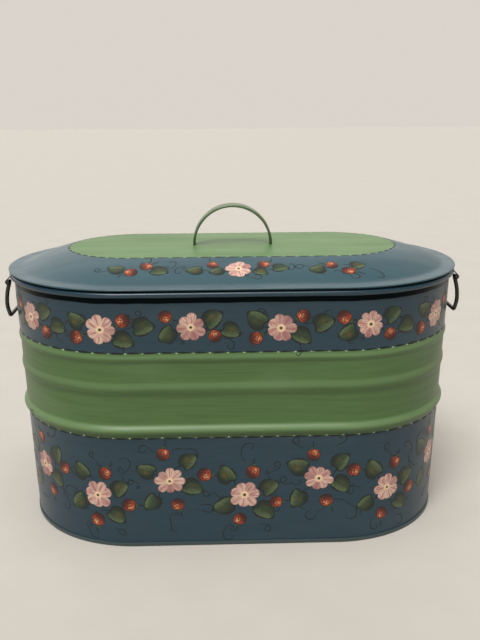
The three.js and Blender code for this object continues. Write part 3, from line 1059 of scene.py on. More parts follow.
@dataclass
class Tub:
    """The beaded wall sheets with their wired rim, the bottom pan and the bail ears."""

    finishes: Finishes
    foot_z: float = 1.1 * MM
    neck_z: float = 277.8 * MM
    plain_steps: int = 24
    facing_in: float = -0.3
    tin_below_rim: float = 2.0 * MM
    tin_above_floor: float = 5.0 * MM
    curl_degrees: tuple[float, float] = (215.0, -80.0)
    curl_steps: int = 28
    lap_y: float = 4.0 * MM
    lap_near: float = 6.0 * MM
    lap_far: float = 8.0 * MM
    lap_low_z: float = 8.0 * MM
    lap_high_z: float = 268.0 * MM
    panel_z: float = 5.4 * MM
    panel_slope: float = 1.0 * MM
    pan_bend: float = 0.9 * MM
    lip_z: float = 4.6 * MM
    ear_half: float = 3.0 * MM
    ear_start_degrees: float = 100.0
    ear_clear: float = 0.1 * MM
    knuckle_clear: float = 0.25 * MM
    knuckle_degrees: float = 285.0

    def heights(self, low: float, high: float, fine: int) -> list[float]:
        """Heights for the wall's section, close together over the beads.

        Args:
            low: the lowest height.
            high: the highest height.
            fine: steps over each bead.

        Returns:
            The heights, lowest first.
        """
        marks = {low, high}
        for bead in BEADS:
            marks |= {bead.low + (bead.high - bead.low) * i / fine for i in range(fine + 1)}
        for i in range(1, self.plain_steps):
            z = low + (high - low) * i / self.plain_steps
            if all(not bead.low < z < bead.high for bead in BEADS):
                marks.add(z)
        return sorted(marks)

    def wall_line(self, low: float, high: float, inset: float, fine: int = 14) -> Section:
        """The wall's section line at a depth inside its outer face."""
        return [(wall_radius(z) - inset, z) for z in self.heights(low, high, fine)]

    def cut_half(self, shape: bmesh.types.BMesh, side: Side) -> None:
        """Keeps the half of a ring that one wall sheet covers.

        Args:
            shape: the whole ring.
            side: the sheet's side.
        """
        reach = HALF_STRAIGHT + RIM_RADIUS
        seam = Vector((2.0 * reach, 2.0 * self.lap_y, 0.0)).normalized()
        outward = Vector((seam.y, -seam.x, 0.0)) * side.value
        slice_off(shape, -outward * GAP / 2.0, outward)

    def wall(self, side: Side) -> bpy.types.Object:
        """One wall sheet with its curled rim.

        Args:
            side: front or back.

        Returns:
            The piece.
        """
        curl = arc_points((RIM_RADIUS, RIM_Z), RIM_ROLL - SHEET / 2.0, *self.curl_degrees, self.curl_steps)
        line = self.wall_line(self.foot_z, self.neck_z, SHEET / 2.0) + curl
        shape = sweep(both_sides(line, SHEET))
        self.cut_half(shape, side)
        for face in shape.faces:
            middle = face.calc_center_median()
            over = max(abs(middle.x) - HALF_STRAIGHT, 0.0)
            spine = Vector((math.copysign(over, middle.x), middle.y, 0.0)).normalized()
            inside = face.normal.dot(spine) < self.facing_in and middle.z < RIM_Z - self.tin_below_rim
            face.material_index = 1 if inside else 0
        node = f"{side.name.lower()}_wall"
        return deliver(shape, f"{node}_sheet", Body.TUB, "body_paint",
                       [self.finishes.tub_paint, self.finishes.tin], [node])

    def lap_tab(self, side: Side) -> bpy.types.Object:
        """The strip of sheet behind a lap seam.

        Args:
            side: the seam's side.

        Returns:
            The piece.
        """
        inset = 1.5 * SHEET + GAP
        shape = sweep(both_sides(self.wall_line(self.lap_low_z, self.lap_high_z, inset, 8), SHEET))
        way = Vector((0.0, float(side.value), 0.0))
        end = Vector((float(side.value), 0.0, 0.0))
        slice_off(shape, way * (self.lap_y + self.lap_far), way)
        slice_off(shape, way * (self.lap_y - self.lap_near), -way)
        slice_off(shape, Vector(), -end)
        return deliver(shape, f"{side.name.lower()}_lap_tab", Body.TUB, "bare_tin", [self.finishes.tin])

    def bottom_pan(self) -> bpy.types.Object:
        """The raised panel and the channel round the foot of the walls."""
        foot = wall_radius(self.foot_z)
        outer = foot + GAP + SHEET / 2.0
        inner = foot - SHEET - GAP - SHEET / 2.0
        floor = SHEET / 2.0
        corners = [(0.0, self.panel_z), (inner - self.panel_slope, self.panel_z),
                   (inner, self.panel_z - self.panel_slope), (inner, floor), (outer, floor),
                   (outer, self.lip_z)]
        loop = both_sides(rounded_line(corners, self.pan_bend, 3), SHEET)
        loop[0] = (0.0, loop[0][1])
        loop[-1] = (0.0, loop[-1][1])
        shape = sweep(loop, closed=False)
        for face in shape.faces:
            inside = face.normal.z > 0.5 and face.calc_center_median().z > self.tin_above_floor
            face.material_index = 1 if inside else 0
        return deliver(shape, "bottom_pan_sheet", Body.TUB, "body_paint",
                       [self.finishes.tub_paint, self.finishes.tin], ["bottom_pan"])

    def ear(self, end: End, side: Side) -> bpy.types.Object:
        """A strap soldered over the rim roll and rolled round the bail's pin.

        Args:
            end: left or right.
            side: front or back.

        Returns:
            The piece.
        """
        node = f"{end.name.lower()}_ear_{side.name.lower()}"
        low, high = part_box(node)
        centre_y = (low.y + high.y) / 2.0
        roll_x = HALF_STRAIGHT + math.sqrt(RIM_RADIUS ** 2 - centre_y ** 2)
        roll = Vector((roll_x, RIM_Z))
        pin = Vector((PIVOT.x, PIVOT.z))
        roll_reach = RIM_ROLL + SHEET / 2.0 + self.ear_clear
        pin_reach = Bail.radius + SHEET / 2.0 + self.knuckle_clear
        lean = math.degrees(math.atan2(pin.y - roll.y, pin.x - roll.x))
        leave = lean + math.degrees(math.acos((roll_reach - pin_reach) / (pin - roll).length))
        path = arc_points(tuple(roll), roll_reach, self.ear_start_degrees, leave, 8)
        path += arc_points(tuple(pin), pin_reach, leave, leave - self.knuckle_degrees, 22)
        half = self.ear_half
        shape = bmesh.new()
        slope = centre_y / (roll_x - HALF_STRAIGHT)
        start = [shape.verts.new((path[0][0] - slope * y, centre_y + y, path[0][1])) for y in (-half, half)]
        edges = [shape.edges.new(start)]
        for here, there in zip(path, path[1:]):
            edges, points = pull(shape, edges, Vector((there[0] - here[0], 0.0, there[1] - here[1])))
            on_pin = math.hypot(there[0] - pin.x, there[1] - pin.y) < 1.2 * pin_reach
            for point in points:
                off = point.co.y - centre_y
                point.co.x = there[0] - (0.0 if on_pin else slope * off)
        bmesh.ops.recalc_face_normals(shape, faces=shape.faces)
        bmesh.ops.solidify(shape, geom=shape.faces, thickness=SHEET)
        if end is End.LEFT:
            bmesh.ops.scale(shape, vec=Vector((-1.0, 1.0, 1.0)), verts=shape.verts)
        bmesh.ops.recalc_face_normals(shape, faces=shape.faces)
        return deliver(shape, f"{node}_strap", Body.TUB, "body_paint", [self.finishes.tub_paint], [node])

    def build(self) -> None:
        """Builds every piece of the tub."""
        for side in Side:
            self.wall(side)
            self.lap_tab(side)
        self.bottom_pan()
        for end in End:
            for side in Side:
                self.ear(end, side)
        wire = frame["nodes"]["rim_wire"]
        wire.data.materials.clear()
        wire.data.materials.append(self.finishes.tin)


@dataclass
class Lid:
    """The lid panel, the collar under it and the strap handle on it."""

    finishes: Finishes
    flange_radius: float = 126.5 * MM
    edge_thick: float = 1.6 * MM
    hem_width: float = 3.0 * MM
    bulge: float = 1.3 * MM
    plateau_rings: tuple[float, ...] = (0.0, 40.0 * MM, 70.0 * MM)
    shoulder_steps: int = 22
    flange_rings: tuple[float, ...] = (129.0 * MM, 132.0 * MM, 135.0 * MM, 137.9 * MM)
    flange_drop: float = 0.4 * MM
    crease_ease: float = 2.2 * MM
    collar_radius: float = 133.0 * MM
    collar_low_z: float = 268.0 * MM
    collar_bead: float = 137.0 * MM
    collar_ledge: float = 127.0 * MM
    bead_nose: float = 0.4 * MM
    collar_bend: float = 1.2 * MM
    arch_radius: float = 44.5 * MM
    arch_z: float = 308.4 * MM
    arch_steps: int = 48
    strap_width: float = 18.0 * MM
    strap_thick: float = 0.9 * MM
    hem: float = 1.4 * MM
    hem_degrees: float = 240.0
    hollow: float = 0.35 * MM
    sag: float = 0.1 * MM
    foot_share: float = 0.5
    foot_rise: float = 16.0 * MM
    tab_width: float = 7.0 * MM
    tab_length: float = 10.0 * MM
    tab_rise: float = 1.0 * MM
    tab_bend: float = 1.0 * MM

    @property
    def edge_z(self) -> float:
        """The height of the hem's foot."""
        return LID_LOW.z

    @property
    def flange_z(self) -> float:
        """The height of the flange where the shoulder meets it."""
        return self.edge_z + self.edge_thick + self.flange_drop

    def top_z(self, reach: float) -> float:
        """The height of the lid's upper face at a distance from the spine.

        Args:
            reach: distance from the spine of the outline.

        Returns:
            The height, with sharp creases.
        """
        if reach <= PLATEAU_RADIUS:
            return PLATEAU_Z
        if reach >= self.flange_radius:
            share = (reach - self.flange_radius) / (LID_RADIUS - self.flange_radius)
            return self.flange_z - self.flange_drop * share
        share = (reach - PLATEAU_RADIUS) / (self.flange_radius - PLATEAU_RADIUS)
        fall = PLATEAU_Z + (self.flange_z - PLATEAU_Z) * share
        return fall + self.bulge * math.sin(math.pi * share)

    def panel(self) -> bpy.types.Object:
        """The pressed panel with a flat top, sloping shoulder, flange and hem."""
        shoulder = [PLATEAU_RADIUS + (self.flange_radius - PLATEAU_RADIUS) * i / self.shoulder_steps
                    for i in range(self.shoulder_steps + 1)]
        reaches = [*self.plateau_rings, *shoulder, *self.flange_rings]
        top = [(reach, self.soft_top(reach)) for reach in reaches]
        under = [(max(reach - 0.15 * MM, 0.0), z - SHEET) for reach, z in reversed(top)]
        radius = self.edge_thick / 2.0
        hem = arc_points((LID_RADIUS - radius, self.edge_z + radius), radius, 90.0, -90.0, 12)
        inner = LID_RADIUS - self.hem_width
        hem += [(inner + 0.5 * MM, self.edge_z), (inner + 0.1 * MM, self.edge_z + 0.15 * MM),
                (inner, self.edge_z + 0.5 * MM)]
        shape = sweep(top + hem + under, closed=False)
        for face in shape.faces:
            inside = face.normal.z < -0.2 and face.calc_center_median().z > self.edge_z + 0.7 * MM
            face.material_index = 1 if inside else 0
        return deliver(shape, "lid_panel_sheet", Body.LID, "lid_paint",
                       [self.finishes.lid_paint, self.finishes.tin], ["lid_panel"])

    def soft_top(self, reach: float) -> float:
        """The upper face's height, with its two creases eased over a few millimetres."""
        if reach == 0.0:
            return PLATEAU_Z
        return sum(self.top_z(reach + self.crease_ease * k) for k in (-1.0, -0.5, 0.0, 0.5, 1.0)) / 5.0

    def collar(self) -> bpy.types.Object:
        """The ring that fits the mouth, with the bead that rests on the rim."""
        ledge = self.flange_z - 2.0 * SHEET - GAP
        rest = RIM_Z + RIM_ROLL + GAP + SHEET / 2.0
        skirt = self.collar_radius - SHEET / 2.0
        bead = self.collar_bead
        flat = bead - self.bead_nose
        corners = [(self.collar_ledge, ledge), (flat, ledge), (bead, (ledge + rest) / 2.0),
                   (flat, rest), (skirt, rest), (skirt, self.collar_low_z)]
        shape = sweep(both_sides(rounded_line(corners, self.collar_bend), SHEET))
        for face in shape.faces:
            face.material_index = 1 if face.calc_center_median().z < rest - 2.4 * MM else 0
        return deliver(shape, "lid_collar_ring", Body.LID, "lid_paint",
                       [self.finishes.lid_paint, self.finishes.tin], ["lid_collar"])

    def handle(self) -> bpy.types.Object:
        """The strap with rolled hems, bent over the lid, and its tabs under the plateau."""
        half = self.strap_width / 2.0 - self.hem
        outer = self.arch_radius
        lower = outer - self.strap_thick
        section = arc_points((half, outer - self.hem), self.hem, 90.0, 90.0 - self.hem_degrees, 8)
        section += [(half * 0.5, lower - self.sag), (-half * 0.5, lower - self.sag)]
        section += arc_points((-half, outer - self.hem), self.hem, 90.0 + self.hem_degrees, 90.0, 8)
        section += [(-half * 0.5, outer - self.hollow), (half * 0.5, outer - self.hollow)]
        shape = bmesh.new()
        foot = PLATEAU_Z + 0.05 * MM
        points = [shape.verts.new((reach, y, foot)) for y, reach in section]
        edges = [shape.edges.new(pair) for pair in zip(points, points[1:] + points[:1])]
        bmesh.ops.contextual_create(shape, geom=edges)
        leg = Vector((0.0, 0.0, self.arch_z - foot))
        turned = bmesh.ops.spin(
            shape, geom=pull(shape, edges, leg)[0], cent=(0.0, 0.0, self.arch_z), axis=(0.0, -1.0, 0.0),
            angle=math.pi, steps=self.arch_steps, use_merge=False)
        edges = pull(shape, edges_of(turned["geom_last"]), -leg)[0]
        bmesh.ops.contextual_create(shape, geom=edges)
        heal(shape)
        for point in shape.verts:
            rise = min(1.0, (point.co.z - foot) / self.foot_rise)
            point.co.y *= self.foot_share + (1.0 - self.foot_share) * rise * (2.0 - rise)
        for end in End:
            self.tab(shape, end)
        return deliver(shape, "lid_handle_strap", Body.LID, "green_paint", [self.finishes.handle],
                       ["lid_handle"])

    def tab(self, shape: bmesh.types.BMesh, end: End) -> None:
        """Adds one tab that passes through the lid and turns in under the plateau.

        Args:
            shape: the handle's bmesh.
            end: left or right.
        """
        outer = self.arch_radius - 0.05 * MM
        middle = outer - 0.45 * MM
        under = PLATEAU_Z - SHEET - GAP - 0.4 * MM
        line = rounded_line([(middle, PLATEAU_Z + self.tab_rise), (middle, under),
                             (outer - self.tab_length, under)], self.tab_bend)
        loop = both_sides(line, self.strap_thick * 0.9)
        points = [shape.verts.new((end.value * x, -self.tab_width / 2.0, z)) for x, z in loop]
        face = shape.faces.new(points)
        drawn = bmesh.ops.extrude_face_region(shape, geom=[face])["geom"]
        corners = [item for item in drawn if isinstance(item, bmesh.types.BMVert)]
        bmesh.ops.translate(shape, verts=corners, vec=Vector((0.0, self.tab_width, 0.0)))
        bmesh.ops.recalc_face_normals(shape, faces=shape.faces)

    def build(self) -> None:
        """Builds every piece of the lid."""
        self.panel()
        self.collar()
        self.handle()


@dataclass
class Bail:
    """One wire bail, hanging against the wall from a pin line under the rim."""

    end: End
    finishes: Finishes
    leg_y: float = 41.0 * MM
    radius: float = 2.2 * MM
    grip_x: float = 246.1 * MM
    grip_z: float = 238.0 * MM
    bow_x: float = 248.5 * MM
    leg_heights: tuple[float, float, float] = (266.0 * MM, 256.0 * MM, 248.0 * MM)
    pin_end_y: float = BAIL_END_Y

    def route(self) -> list[Vector]:
        """The wire's control points from one pin end to the other."""
        half = [
            (PIVOT.x, self.pin_end_y, PIVOT.z),
            (PIVOT.x, self.leg_y + 5.0 * MM, PIVOT.z),
            (PIVOT.x, self.leg_y + 2.4 * MM, PIVOT.z),
            (PIVOT.x + 0.2 * MM, self.leg_y + 0.2 * MM, PIVOT.z - 0.6 * MM),
            (PIVOT.x + 0.7 * MM, self.leg_y, PIVOT.z - 3.2 * MM),
            (self.bow_x - 1.3 * MM, self.leg_y, self.leg_heights[0]),
            (self.bow_x, self.leg_y, self.leg_heights[1]),
            (self.bow_x, self.leg_y, self.leg_heights[2]),
            (self.grip_x + 0.7 * MM, self.leg_y - 0.2 * MM, self.grip_z + 4.0 * MM),
            (self.grip_x + 0.2 * MM, self.leg_y - 1.0 * MM, self.grip_z + 0.4 * MM),
            (self.grip_x, self.leg_y - 5.0 * MM, self.grip_z),
            (self.grip_x, self.leg_y - 10.0 * MM, self.grip_z),
            (self.grip_x, self.leg_y / 3.0, self.grip_z),
        ]
        whole = half + [(x, -y, z) for x, y, z in reversed(half)]
        return [Vector((self.end.value * x, y, z)) for x, y, z in whole]

    def build(self) -> bpy.types.Object:
        """Builds the bail."""
        body = Body.LEFT_BAIL if self.end is End.LEFT else Body.RIGHT_BAIL
        return deliver(wire_along(self.route(), self.radius), f"{body.value}_wire", body, "black_wire",
                       [self.finishes.black], [body.value], 60.0)


@dataclass
class Garland:
    """Generic flowers, leaves, berries, tendrils and edge lines, painted round one body."""

    body: Body
    skin: Skin
    outline: Stadium
    slot: str
    seed: int
    petal_step: float = 0.005 * MM
    leaf_step: float = 0.004 * MM
    leaf_top: float = 0.12 * MM
    leaf_drop: float = 0.03 * MM
    layers: dict[Stroke, PaintLayer] = field(default_factory=dict)

    def __post_init__(self) -> None:
        """Starts the paint layers, each a little above the one before."""
        self.draw = random.Random(self.seed)
        lifts = {Stroke.LINE: (0.05, 0.02), Stroke.DOT: (0.06, 0.08), Stroke.LEAF: (0.09, 0.06),
                 Stroke.BERRY: (0.14, 0.20), Stroke.PETAL: (0.18, 0.16), Stroke.EYE: (0.34, 0.14)}
        for stroke, (lift, dome) in lifts.items():
            self.layers[stroke] = PaintLayer(stroke, self.body, lift * MM, dome * MM)

    def flower(self, along: float, up: float, size: float, petals: int = 7) -> None:
        """A flower with round petals about a cream eye.

        Args:
            along: where its middle lies round the body.
            up: how high its middle lies on the skin.
            size: its width.
            petals: how many petals it has.
        """
        start = self.draw.uniform(0.0, 360.0)
        layer = self.layers[Stroke.PETAL]
        for i in range(petals):
            turn = start + 360.0 * i / petals + self.draw.uniform(-5.0, 5.0)
            long = size * self.draw.uniform(0.45, 0.54)
            wide = size * 1.24 / petals * self.draw.uniform(0.95, 1.10)
            tone = max(0.0, self.draw.uniform(-0.9, 1.0))
            layer.lift += self.petal_step
            layer.lay(self.skin, (along, up), turn, (wide, long), petal_shape, (7, 9), tone,
                      self.draw.random())
        layer.lift -= self.petal_step * petals
        eye = size * self.draw.uniform(0.13, 0.16)
        self.layers[Stroke.EYE].lay(self.skin, (along, up), start, (eye, eye), disc, (6, 6), 0.0,
                                    self.draw.random())

    def leaf(self, along: float, up: float, turn: float, size: float) -> None:
        """A leaf with a little stalk.

        Args:
            along: where its middle lies round the body.
            up: how high its middle lies on the skin.
            turn: its turn in degrees, anticlockwise.
            size: about its width and length.
        """
        layer = self.layers[Stroke.LEAF]
        layer.lift += self.leaf_step if layer.lift < self.leaf_top else -self.leaf_drop
        layer.lay(self.skin, (along, up), turn, (size * 0.47, size * 0.52), leaf_shape, (9, 9),
                  self.draw.random(), self.draw.random())
        self.flourish(along, up, turn - 90.0 + self.draw.uniform(-25.0, 25.0),
                      Flourish(size * 0.85, self.draw.uniform(-0.5, 0.5), 0.0, 0.6 * MM, 8))
        if self.draw.random() < 0.45:
            self.flourish(along, up, turn + 90.0 + self.draw.uniform(-15.0, 15.0),
                          Flourish(size * 0.78, 0.5, self.draw.choice((-0.5, 0.5)), 0.48 * MM, 10))

    def berry(self, along: float, up: float, size: float, turn: float = 0.0) -> None:
        """A round berry with sepals and a short stem.

        Args:
            along: where its middle lies round the body.
            up: how high its middle lies on the skin.
            size: its width.
            turn: the turn of its stem in degrees, anticlockwise.
        """
        half = size / 2.0
        self.layers[Stroke.BERRY].lay(self.skin, (along, up), turn, (half, half), disc, (8, 8),
                                      self.draw.random(), self.draw.random())
        tip = math.radians(turn + 90.0)
        top = (along + math.cos(tip) * half * 0.98, up + math.sin(tip) * half * 0.98)
        for lean in (-62.0, 0.0, 62.0):
            self.layers[Stroke.LEAF].lay(self.skin, top, turn + lean + self.draw.uniform(-10.0, 10.0),
                                         (size * 0.09, size * 0.24), leaf_shape, (3, 4), 0.0, 0.3)
        self.flourish(*top, turn + 90.0 + self.draw.uniform(-20.0, 20.0),
                      Flourish(size * 0.7, self.draw.uniform(-0.8, 0.8), 0.0, 0.6 * MM, 8))

    def flourish(self, along: float, up: float, turn: float, line: Flourish) -> None:
        """A fine line that starts at a place and runs off at a turn."""
        self.layers[Stroke.LINE].lay(self.skin, (along, up), turn, (1.0, 1.0), line.shape(), (line.steps, 1))

    def tendril(self, along: float, up: float, turn: float, length: float) -> None:
        """A long curling line, and often a shorter one that springs from it.

        Args:
            along: where it starts round the body.
            up: how high it starts on the skin.
            turn: which way it sets off, in degrees.
            length: its length.
        """
        curl = self.draw.choice((-1.0, 1.0)) * self.draw.uniform(0.55, 1.15)
        line = Flourish(length, self.draw.uniform(-0.9, 0.9), curl, 0.54 * MM, 20)
        self.flourish(along, up, turn, line)
        if self.draw.random() < 0.6:
            self.flourish(along, up, turn + self.draw.uniform(70.0, 160.0),
                          Flourish(length * 0.5, 0.6, -curl, 0.46 * MM, 12))

    def finish(self, materials: Mapping[Stroke, bpy.types.Material]) -> None:
        """Makes each layer a piece."""
        for stroke, layer in self.layers.items():
            layer.finish(materials[stroke], self.slot)

    def edging(self, up: float, away: float, outline: Stadium, pitch: float) -> None:
        """A dashed line round the body with a pale dot at each break.

        Args:
            up: where the line lies on the skin.
            away: how far the dots sit from the line.
            outline: measures the distance round.
            pitch: about how far the dashes are apart.
        """
        count = round(outline.around / pitch)
        step = self.outline.around / count
        for i in range(count):
            along = i * step + self.draw.uniform(-0.8, 0.8) * MM
            dash = step * self.draw.uniform(0.40, 0.46)
            tilt = self.draw.uniform(-1.6, 1.6)
            self.layers[Stroke.LINE].lay(self.skin, (along, up), tilt,
                                         (dash, self.draw.uniform(0.8, 1.2) * MM), dash_shape, (8, 2))
            dot = self.draw.uniform(0.7, 1.2) * MM
            self.layers[Stroke.DOT].lay(self.skin, (along + step / 2.0, up + away), 0.0,
                                        (dot, dot * 0.7), disc, (4, 3), 0.0, self.draw.random())


Spot = tuple[float, float, float]


@dataclass(frozen=True)
class Sprig:
    """A flower with what grows round it: (along, up, turn) in millimetres and degrees from its middle."""

    flower: float
    leaf: float
    berry: float
    leaves: tuple[Spot, ...]
    berries: tuple[Spot, ...]
    tendrils: tuple[Spot, ...]
    reach: float
    play: float = 1.6

    def paint(self, garland: Garland, along: float, up: float, flipped: bool = False) -> None:
        """Paints the sprig.

        Args:
            garland: what it belongs to.
            along: where its middle lies round the body.
            up: how high its middle lies on the skin.
            flipped: whether it is turned over, top to bottom.
        """
        draw = garland.draw

        def spots(group: tuple[Spot, ...]) -> Iterable[Spot]:
            """The places of one group, each with a little play."""
            for x, y, turn in group:
                y, turn = (-y, 180.0 - turn) if flipped else (y, turn)
                yield (along + (x + draw.uniform(-self.play, self.play)) * MM,
                       up + (y + draw.uniform(-self.play, self.play)) * MM, turn + draw.uniform(-14.0, 14.0))

        for x, y, turn in spots(self.tendrils):
            garland.tendril(x, y, turn + 90.0, self.reach * draw.uniform(0.8, 1.25) * MM)
        for x, y, turn in spots(self.leaves):
            garland.leaf(x, y, turn, self.leaf * draw.uniform(0.9, 1.08) * MM)
        for x, y, turn in spots(self.berries):
            garland.berry(x, y, self.berry * draw.uniform(0.92, 1.08) * MM, turn)
        if self.flower:
            garland.flower(along, up, self.flower * draw.uniform(0.95, 1.05) * MM, draw.choice((7, 8)))


UPPER_SPRIG = Sprig(
    flower=30.0, leaf=22.0, berry=14.6, reach=25.0,
    leaves=((23.0, -9.0, -125.0), (-24.0, 8.0, 65.0), (42.0, 4.0, -75.0)),
    berries=((24.0, 11.0, 130.0), (-26.0, -10.0, -50.0)),
    tendrils=((31.0, 12.0, -85.0), (-12.0, 14.0, 85.0), (13.0, -14.0, -95.0), (-37.0, -4.0, 100.0)))
LOWER_SPRIG = Sprig(
    flower=31.0, leaf=23.5, berry=15.4, reach=34.0, play=2.4,
    leaves=((25.0, 9.0, -60.0), (22.0, -21.0, -140.0), (-24.0, -14.0, 120.0), (-20.0, 25.0, 30.0)),
    berries=((10.0, 28.0, -20.0), (-4.0, -29.0, 170.0), (36.0, -8.0, -90.0)),
    tendrils=((30.0, 28.0, -60.0), (-30.0, 4.0, 90.0), (-16.0, -34.0, 130.0), (16.0, -38.0, -110.0),
              (2.0, 40.0, 40.0)))
LID_SPRIG = Sprig(
    flower=28.0, leaf=18.0, berry=13.0, reach=24.0,
    leaves=((21.0, -6.0, -110.0), (-22.0, -4.0, 105.0), (43.0, 3.0, -80.0), (-45.0, -2.0, 95.0)),
    berries=((25.0, 7.0, -40.0), (-26.0, 8.0, 30.0)),
    tendrils=((52.0, -3.0, -85.0), (-54.0, 5.0, 90.0), (12.0, -13.0, -100.0)))
LID_TWIG = Sprig(
    flower=0.0, leaf=18.0, berry=13.5, reach=26.0,
    leaves=((21.0, -3.0, -95.0), (-22.0, 2.0, 80.0)),
    berries=((8.0, 5.0, -60.0), (-7.0, -4.0, 120.0)),
    tendrils=((30.0, 2.0, -80.0), (-31.0, -3.0, 100.0), (2.0, 10.0, -95.0)))


@dataclass(frozen=True)
class Row:
    """Sprigs all the way round the box, every other one raised and turned over."""

    sprig: Sprig
    count: int
    offset: float
    middle: float
    wander: float

    def paint(self, garland: Garland) -> None:
        """Paints the row."""
        for i in range(self.count):
            side = 1.0 if i % 2 else -1.0
            along = (i + self.offset) * garland.outline.around / self.count
            self.sprig.paint(garland, along, self.middle + side * self.wander, side > 0.0)


TUB_ROWS = (
    Row(UPPER_SPRIG, count=14, offset=0.5, middle=247.5 * MM, wander=1.0 * MM),
    Row(LOWER_SPRIG, count=16, offset=0.1, middle=69.0 * MM, wander=9.0 * MM),
)
TUB_SEED = 7
TUB_DASH_PITCH = 17.0 * MM
LID_SEED = 11
LID_DASH_PITCH = 13.0 * MM
LID_SPRIG_RADIUS = 100.0 * MM
LID_SPRIG_SHIFT = 4.0 * MM
LID_TWIG_SPREAD = 103.0 * MM


def paint_tub(materials: Mapping[Stroke, bpy.types.Material]) -> None:
    """Paints the sprigs and edge lines on the walls."""

    def skin(along: float, up: float, lift: float) -> Vector:
        """A point on the wall's outer face."""
        return OUTLINE.place(along, wall_radius(up) + lift, up)

    garland = Garland(Body.TUB, skin, OUTLINE, "body_paint", TUB_SEED)
    garland.edging(GREEN_HIGH_Z, -0.7 * MM, OUTLINE, TUB_DASH_PITCH)
    garland.edging(GREEN_LOW_Z, 0.8 * MM, OUTLINE, TUB_DASH_PITCH)
    for row in TUB_ROWS:
        row.paint(garland)
    garland.finish(materials)


def paint_lid(lid: Lid, materials: Mapping[Stroke, bpy.types.Material]) -> None:
    """Paints the sprigs on the long shoulders and the edge line of the plateau."""

    def skin(along: float, up: float, lift: float) -> Vector:
        """A point on the lid's upper face; up runs from the hem towards the spine."""
        reach = LID_RADIUS - up
        return LID_OUTLINE.place(along, reach, lid.soft_top(reach) + lift)

    garland = Garland(Body.LID, skin, LID_OUTLINE, "lid_paint", LID_SEED)
    plateau = Stadium(HALF_STRAIGHT, PLATEAU_RADIUS)
    garland.edging(LID_RADIUS - PLATEAU_RADIUS, 0.8 * MM, plateau, LID_DASH_PITCH)
    shoulder = LID_RADIUS - LID_SPRIG_RADIUS
    for middle in (LID_SPRIG_SHIFT, LID_OUTLINE.around / 2.0 + LID_SPRIG_SHIFT):
        LID_SPRIG.paint(garland, middle, shoulder)
        for way in (-1.0, 1.0):
            LID_TWIG.paint(garland, middle + way * LID_TWIG_SPREAD, shoulder, way > 0.0)
    garland.finish(materials)


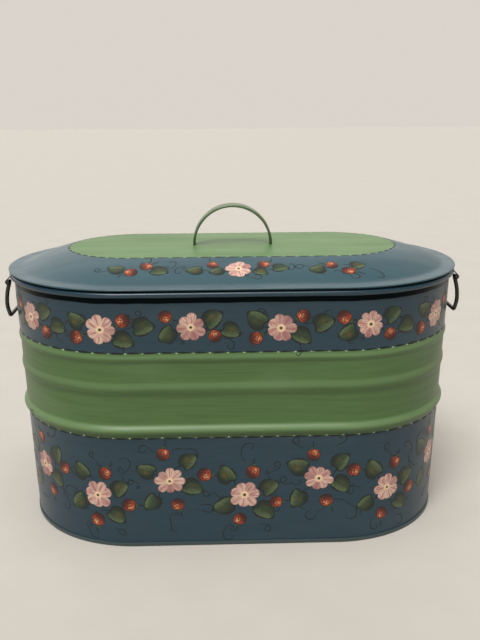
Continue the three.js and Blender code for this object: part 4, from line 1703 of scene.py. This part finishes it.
# ---------------------------------------------------------------------------------------------
# Stage
# ---------------------------------------------------------------------------------------------
@dataclass
class Stage:
    """A plain pale floor, soft studio light and the camera."""

    camera_at: tuple[float, float, float] = (-0.0190, -0.9405, 0.4807)
    yaw_deg: float = 1.64
    pitch_deg: float = 15.62
    roll_deg: float = -0.36
    lens_mm: float = 47.25
    horizon: float = 0.70
    room: float = 0.16
    ceiling: float = 1.00

    def floor(self) -> bpy.types.Object:
        """A wide pale floor with a faint plaster mottle."""
        shape = bmesh.new()
        bmesh.ops.create_grid(shape, x_segments=8, y_segments=8, size=9.0)
        piece = finish_mesh(shape, "studio_floor")
        kit = Kit.material("floor_plaster")
        mottle = kit.noise((14.0, 14.0, 14.0), 6.0, 0.6)
        grain = kit.noise((260.0, 90.0, 90.0), 4.0, 0.6)
        colour = kit.mix(mottle, (0.400, 0.376, 0.344), (0.446, 0.424, 0.392))
        colour = kit.mix(kit.soft_step(grain, 0.60, 0.78) * 0.22, colour, (0.30, 0.28, 0.25))
        piece.data.materials.append(kit.dress(Base_Color=colour, Roughness=0.75))
        return piece

    def sun(self, name: str, turn_deg: float, height_deg: float, spread_deg: float, power: float,
            tint: Colour = (1.0, 1.0, 1.0)) -> None:
        """One broad, even lamp.

        Args:
            name: the lamp's name.
            turn_deg: where it stands, clockwise from the front as seen from above.
            height_deg: its height above the horizon.
            spread_deg: how wide it looks, which sets how soft its shadows are.
            power: its strength.
            tint: its colour.
        """
        data = bpy.data.lights.new(name, "SUN")
        data.energy = power
        data.angle = math.radians(spread_deg)
        data.color = tint
        lamp = bpy.data.objects.new(name, data)
        turn, height = math.radians(turn_deg), math.radians(height_deg)
        level = math.cos(height)
        place = Vector((-math.sin(turn) * level, -math.cos(turn) * level, math.sin(height)))
        lamp.rotation_mode = "QUATERNION"
        lamp.rotation_quaternion = (-place).to_track_quat("-Z", "Y")
        bpy.context.scene.collection.objects.link(lamp)

    def sky(self) -> None:
        """A pale surround, with a dimmer room above it and a bright ceiling."""
        world = bpy.data.worlds.new("studio_surround")
        kit = Kit(world)
        _, y, z = kit.place("Generated")
        height = z - kit.larger(y, 0.0) * 0.62
        dim = kit.soft_step(height, 0.10, 0.24)
        lit = kit.soft_step(height, 0.60, 0.90)
        level = kit.mix(dim, self.shade(self.horizon), self.shade(self.room))
        kit.dress(Color=kit.mix(lit, level, self.shade(self.ceiling)))
        bpy.context.scene.world = world

    @staticmethod
    def shade(level: float) -> Colour:
        """A warm grey."""
        return level, level * 0.935, level * 0.855

    def camera(self) -> None:
        """The camera at the height and angle of a person who looks at the front."""
        data = bpy.data.cameras.new("front_camera")
        data.sensor_width = 36.0
        data.lens = self.lens_mm
        camera = bpy.data.objects.new("front_camera", data)
        turn = (Matrix.Rotation(math.radians(-self.yaw_deg), 4, "Z")
                @ Matrix.Rotation(math.radians(90.0 - self.pitch_deg), 4, "X")
                @ Matrix.Rotation(math.radians(self.roll_deg), 4, "Z"))
        camera.matrix_world = Matrix.Translation(Vector(self.camera_at)) @ turn
        bpy.context.scene.collection.objects.link(camera)
        bpy.context.scene.camera = camera

    def build(self) -> None:
        """Sets the stage."""
        self.camera()
        self.floor()
        self.sky()
        self.sun("window_above", 22.0, 57.0, 24.0, 2.6, (1.0, 0.985, 0.955))
        self.sun("ceiling_lamp", 10.0, 79.0, 40.0, 1.3, (1.0, 0.985, 0.955))
        self.sun("room_behind", 165.0, 22.0, 70.0, 0.5)
        bpy.context.scene.view_settings.view_transform = "Standard"


def main() -> None:
    """Builds the stage, the sub-assemblies and the painting in order."""
    logging.basicConfig(level=logging.INFO, format="%(name)s %(message)s")
    Stage().build()
    finishes = Finishes()
    Tub(finishes).build()
    lid = Lid(finishes)
    lid.build()
    for end in End:
        Bail(end, finishes).build()
    craft = {stroke: CraftPaint(stroke).build() for stroke in Stroke}
    paint_tub(craft)
    paint_lid(lid, craft)


if __name__ == "__main__":
    main()
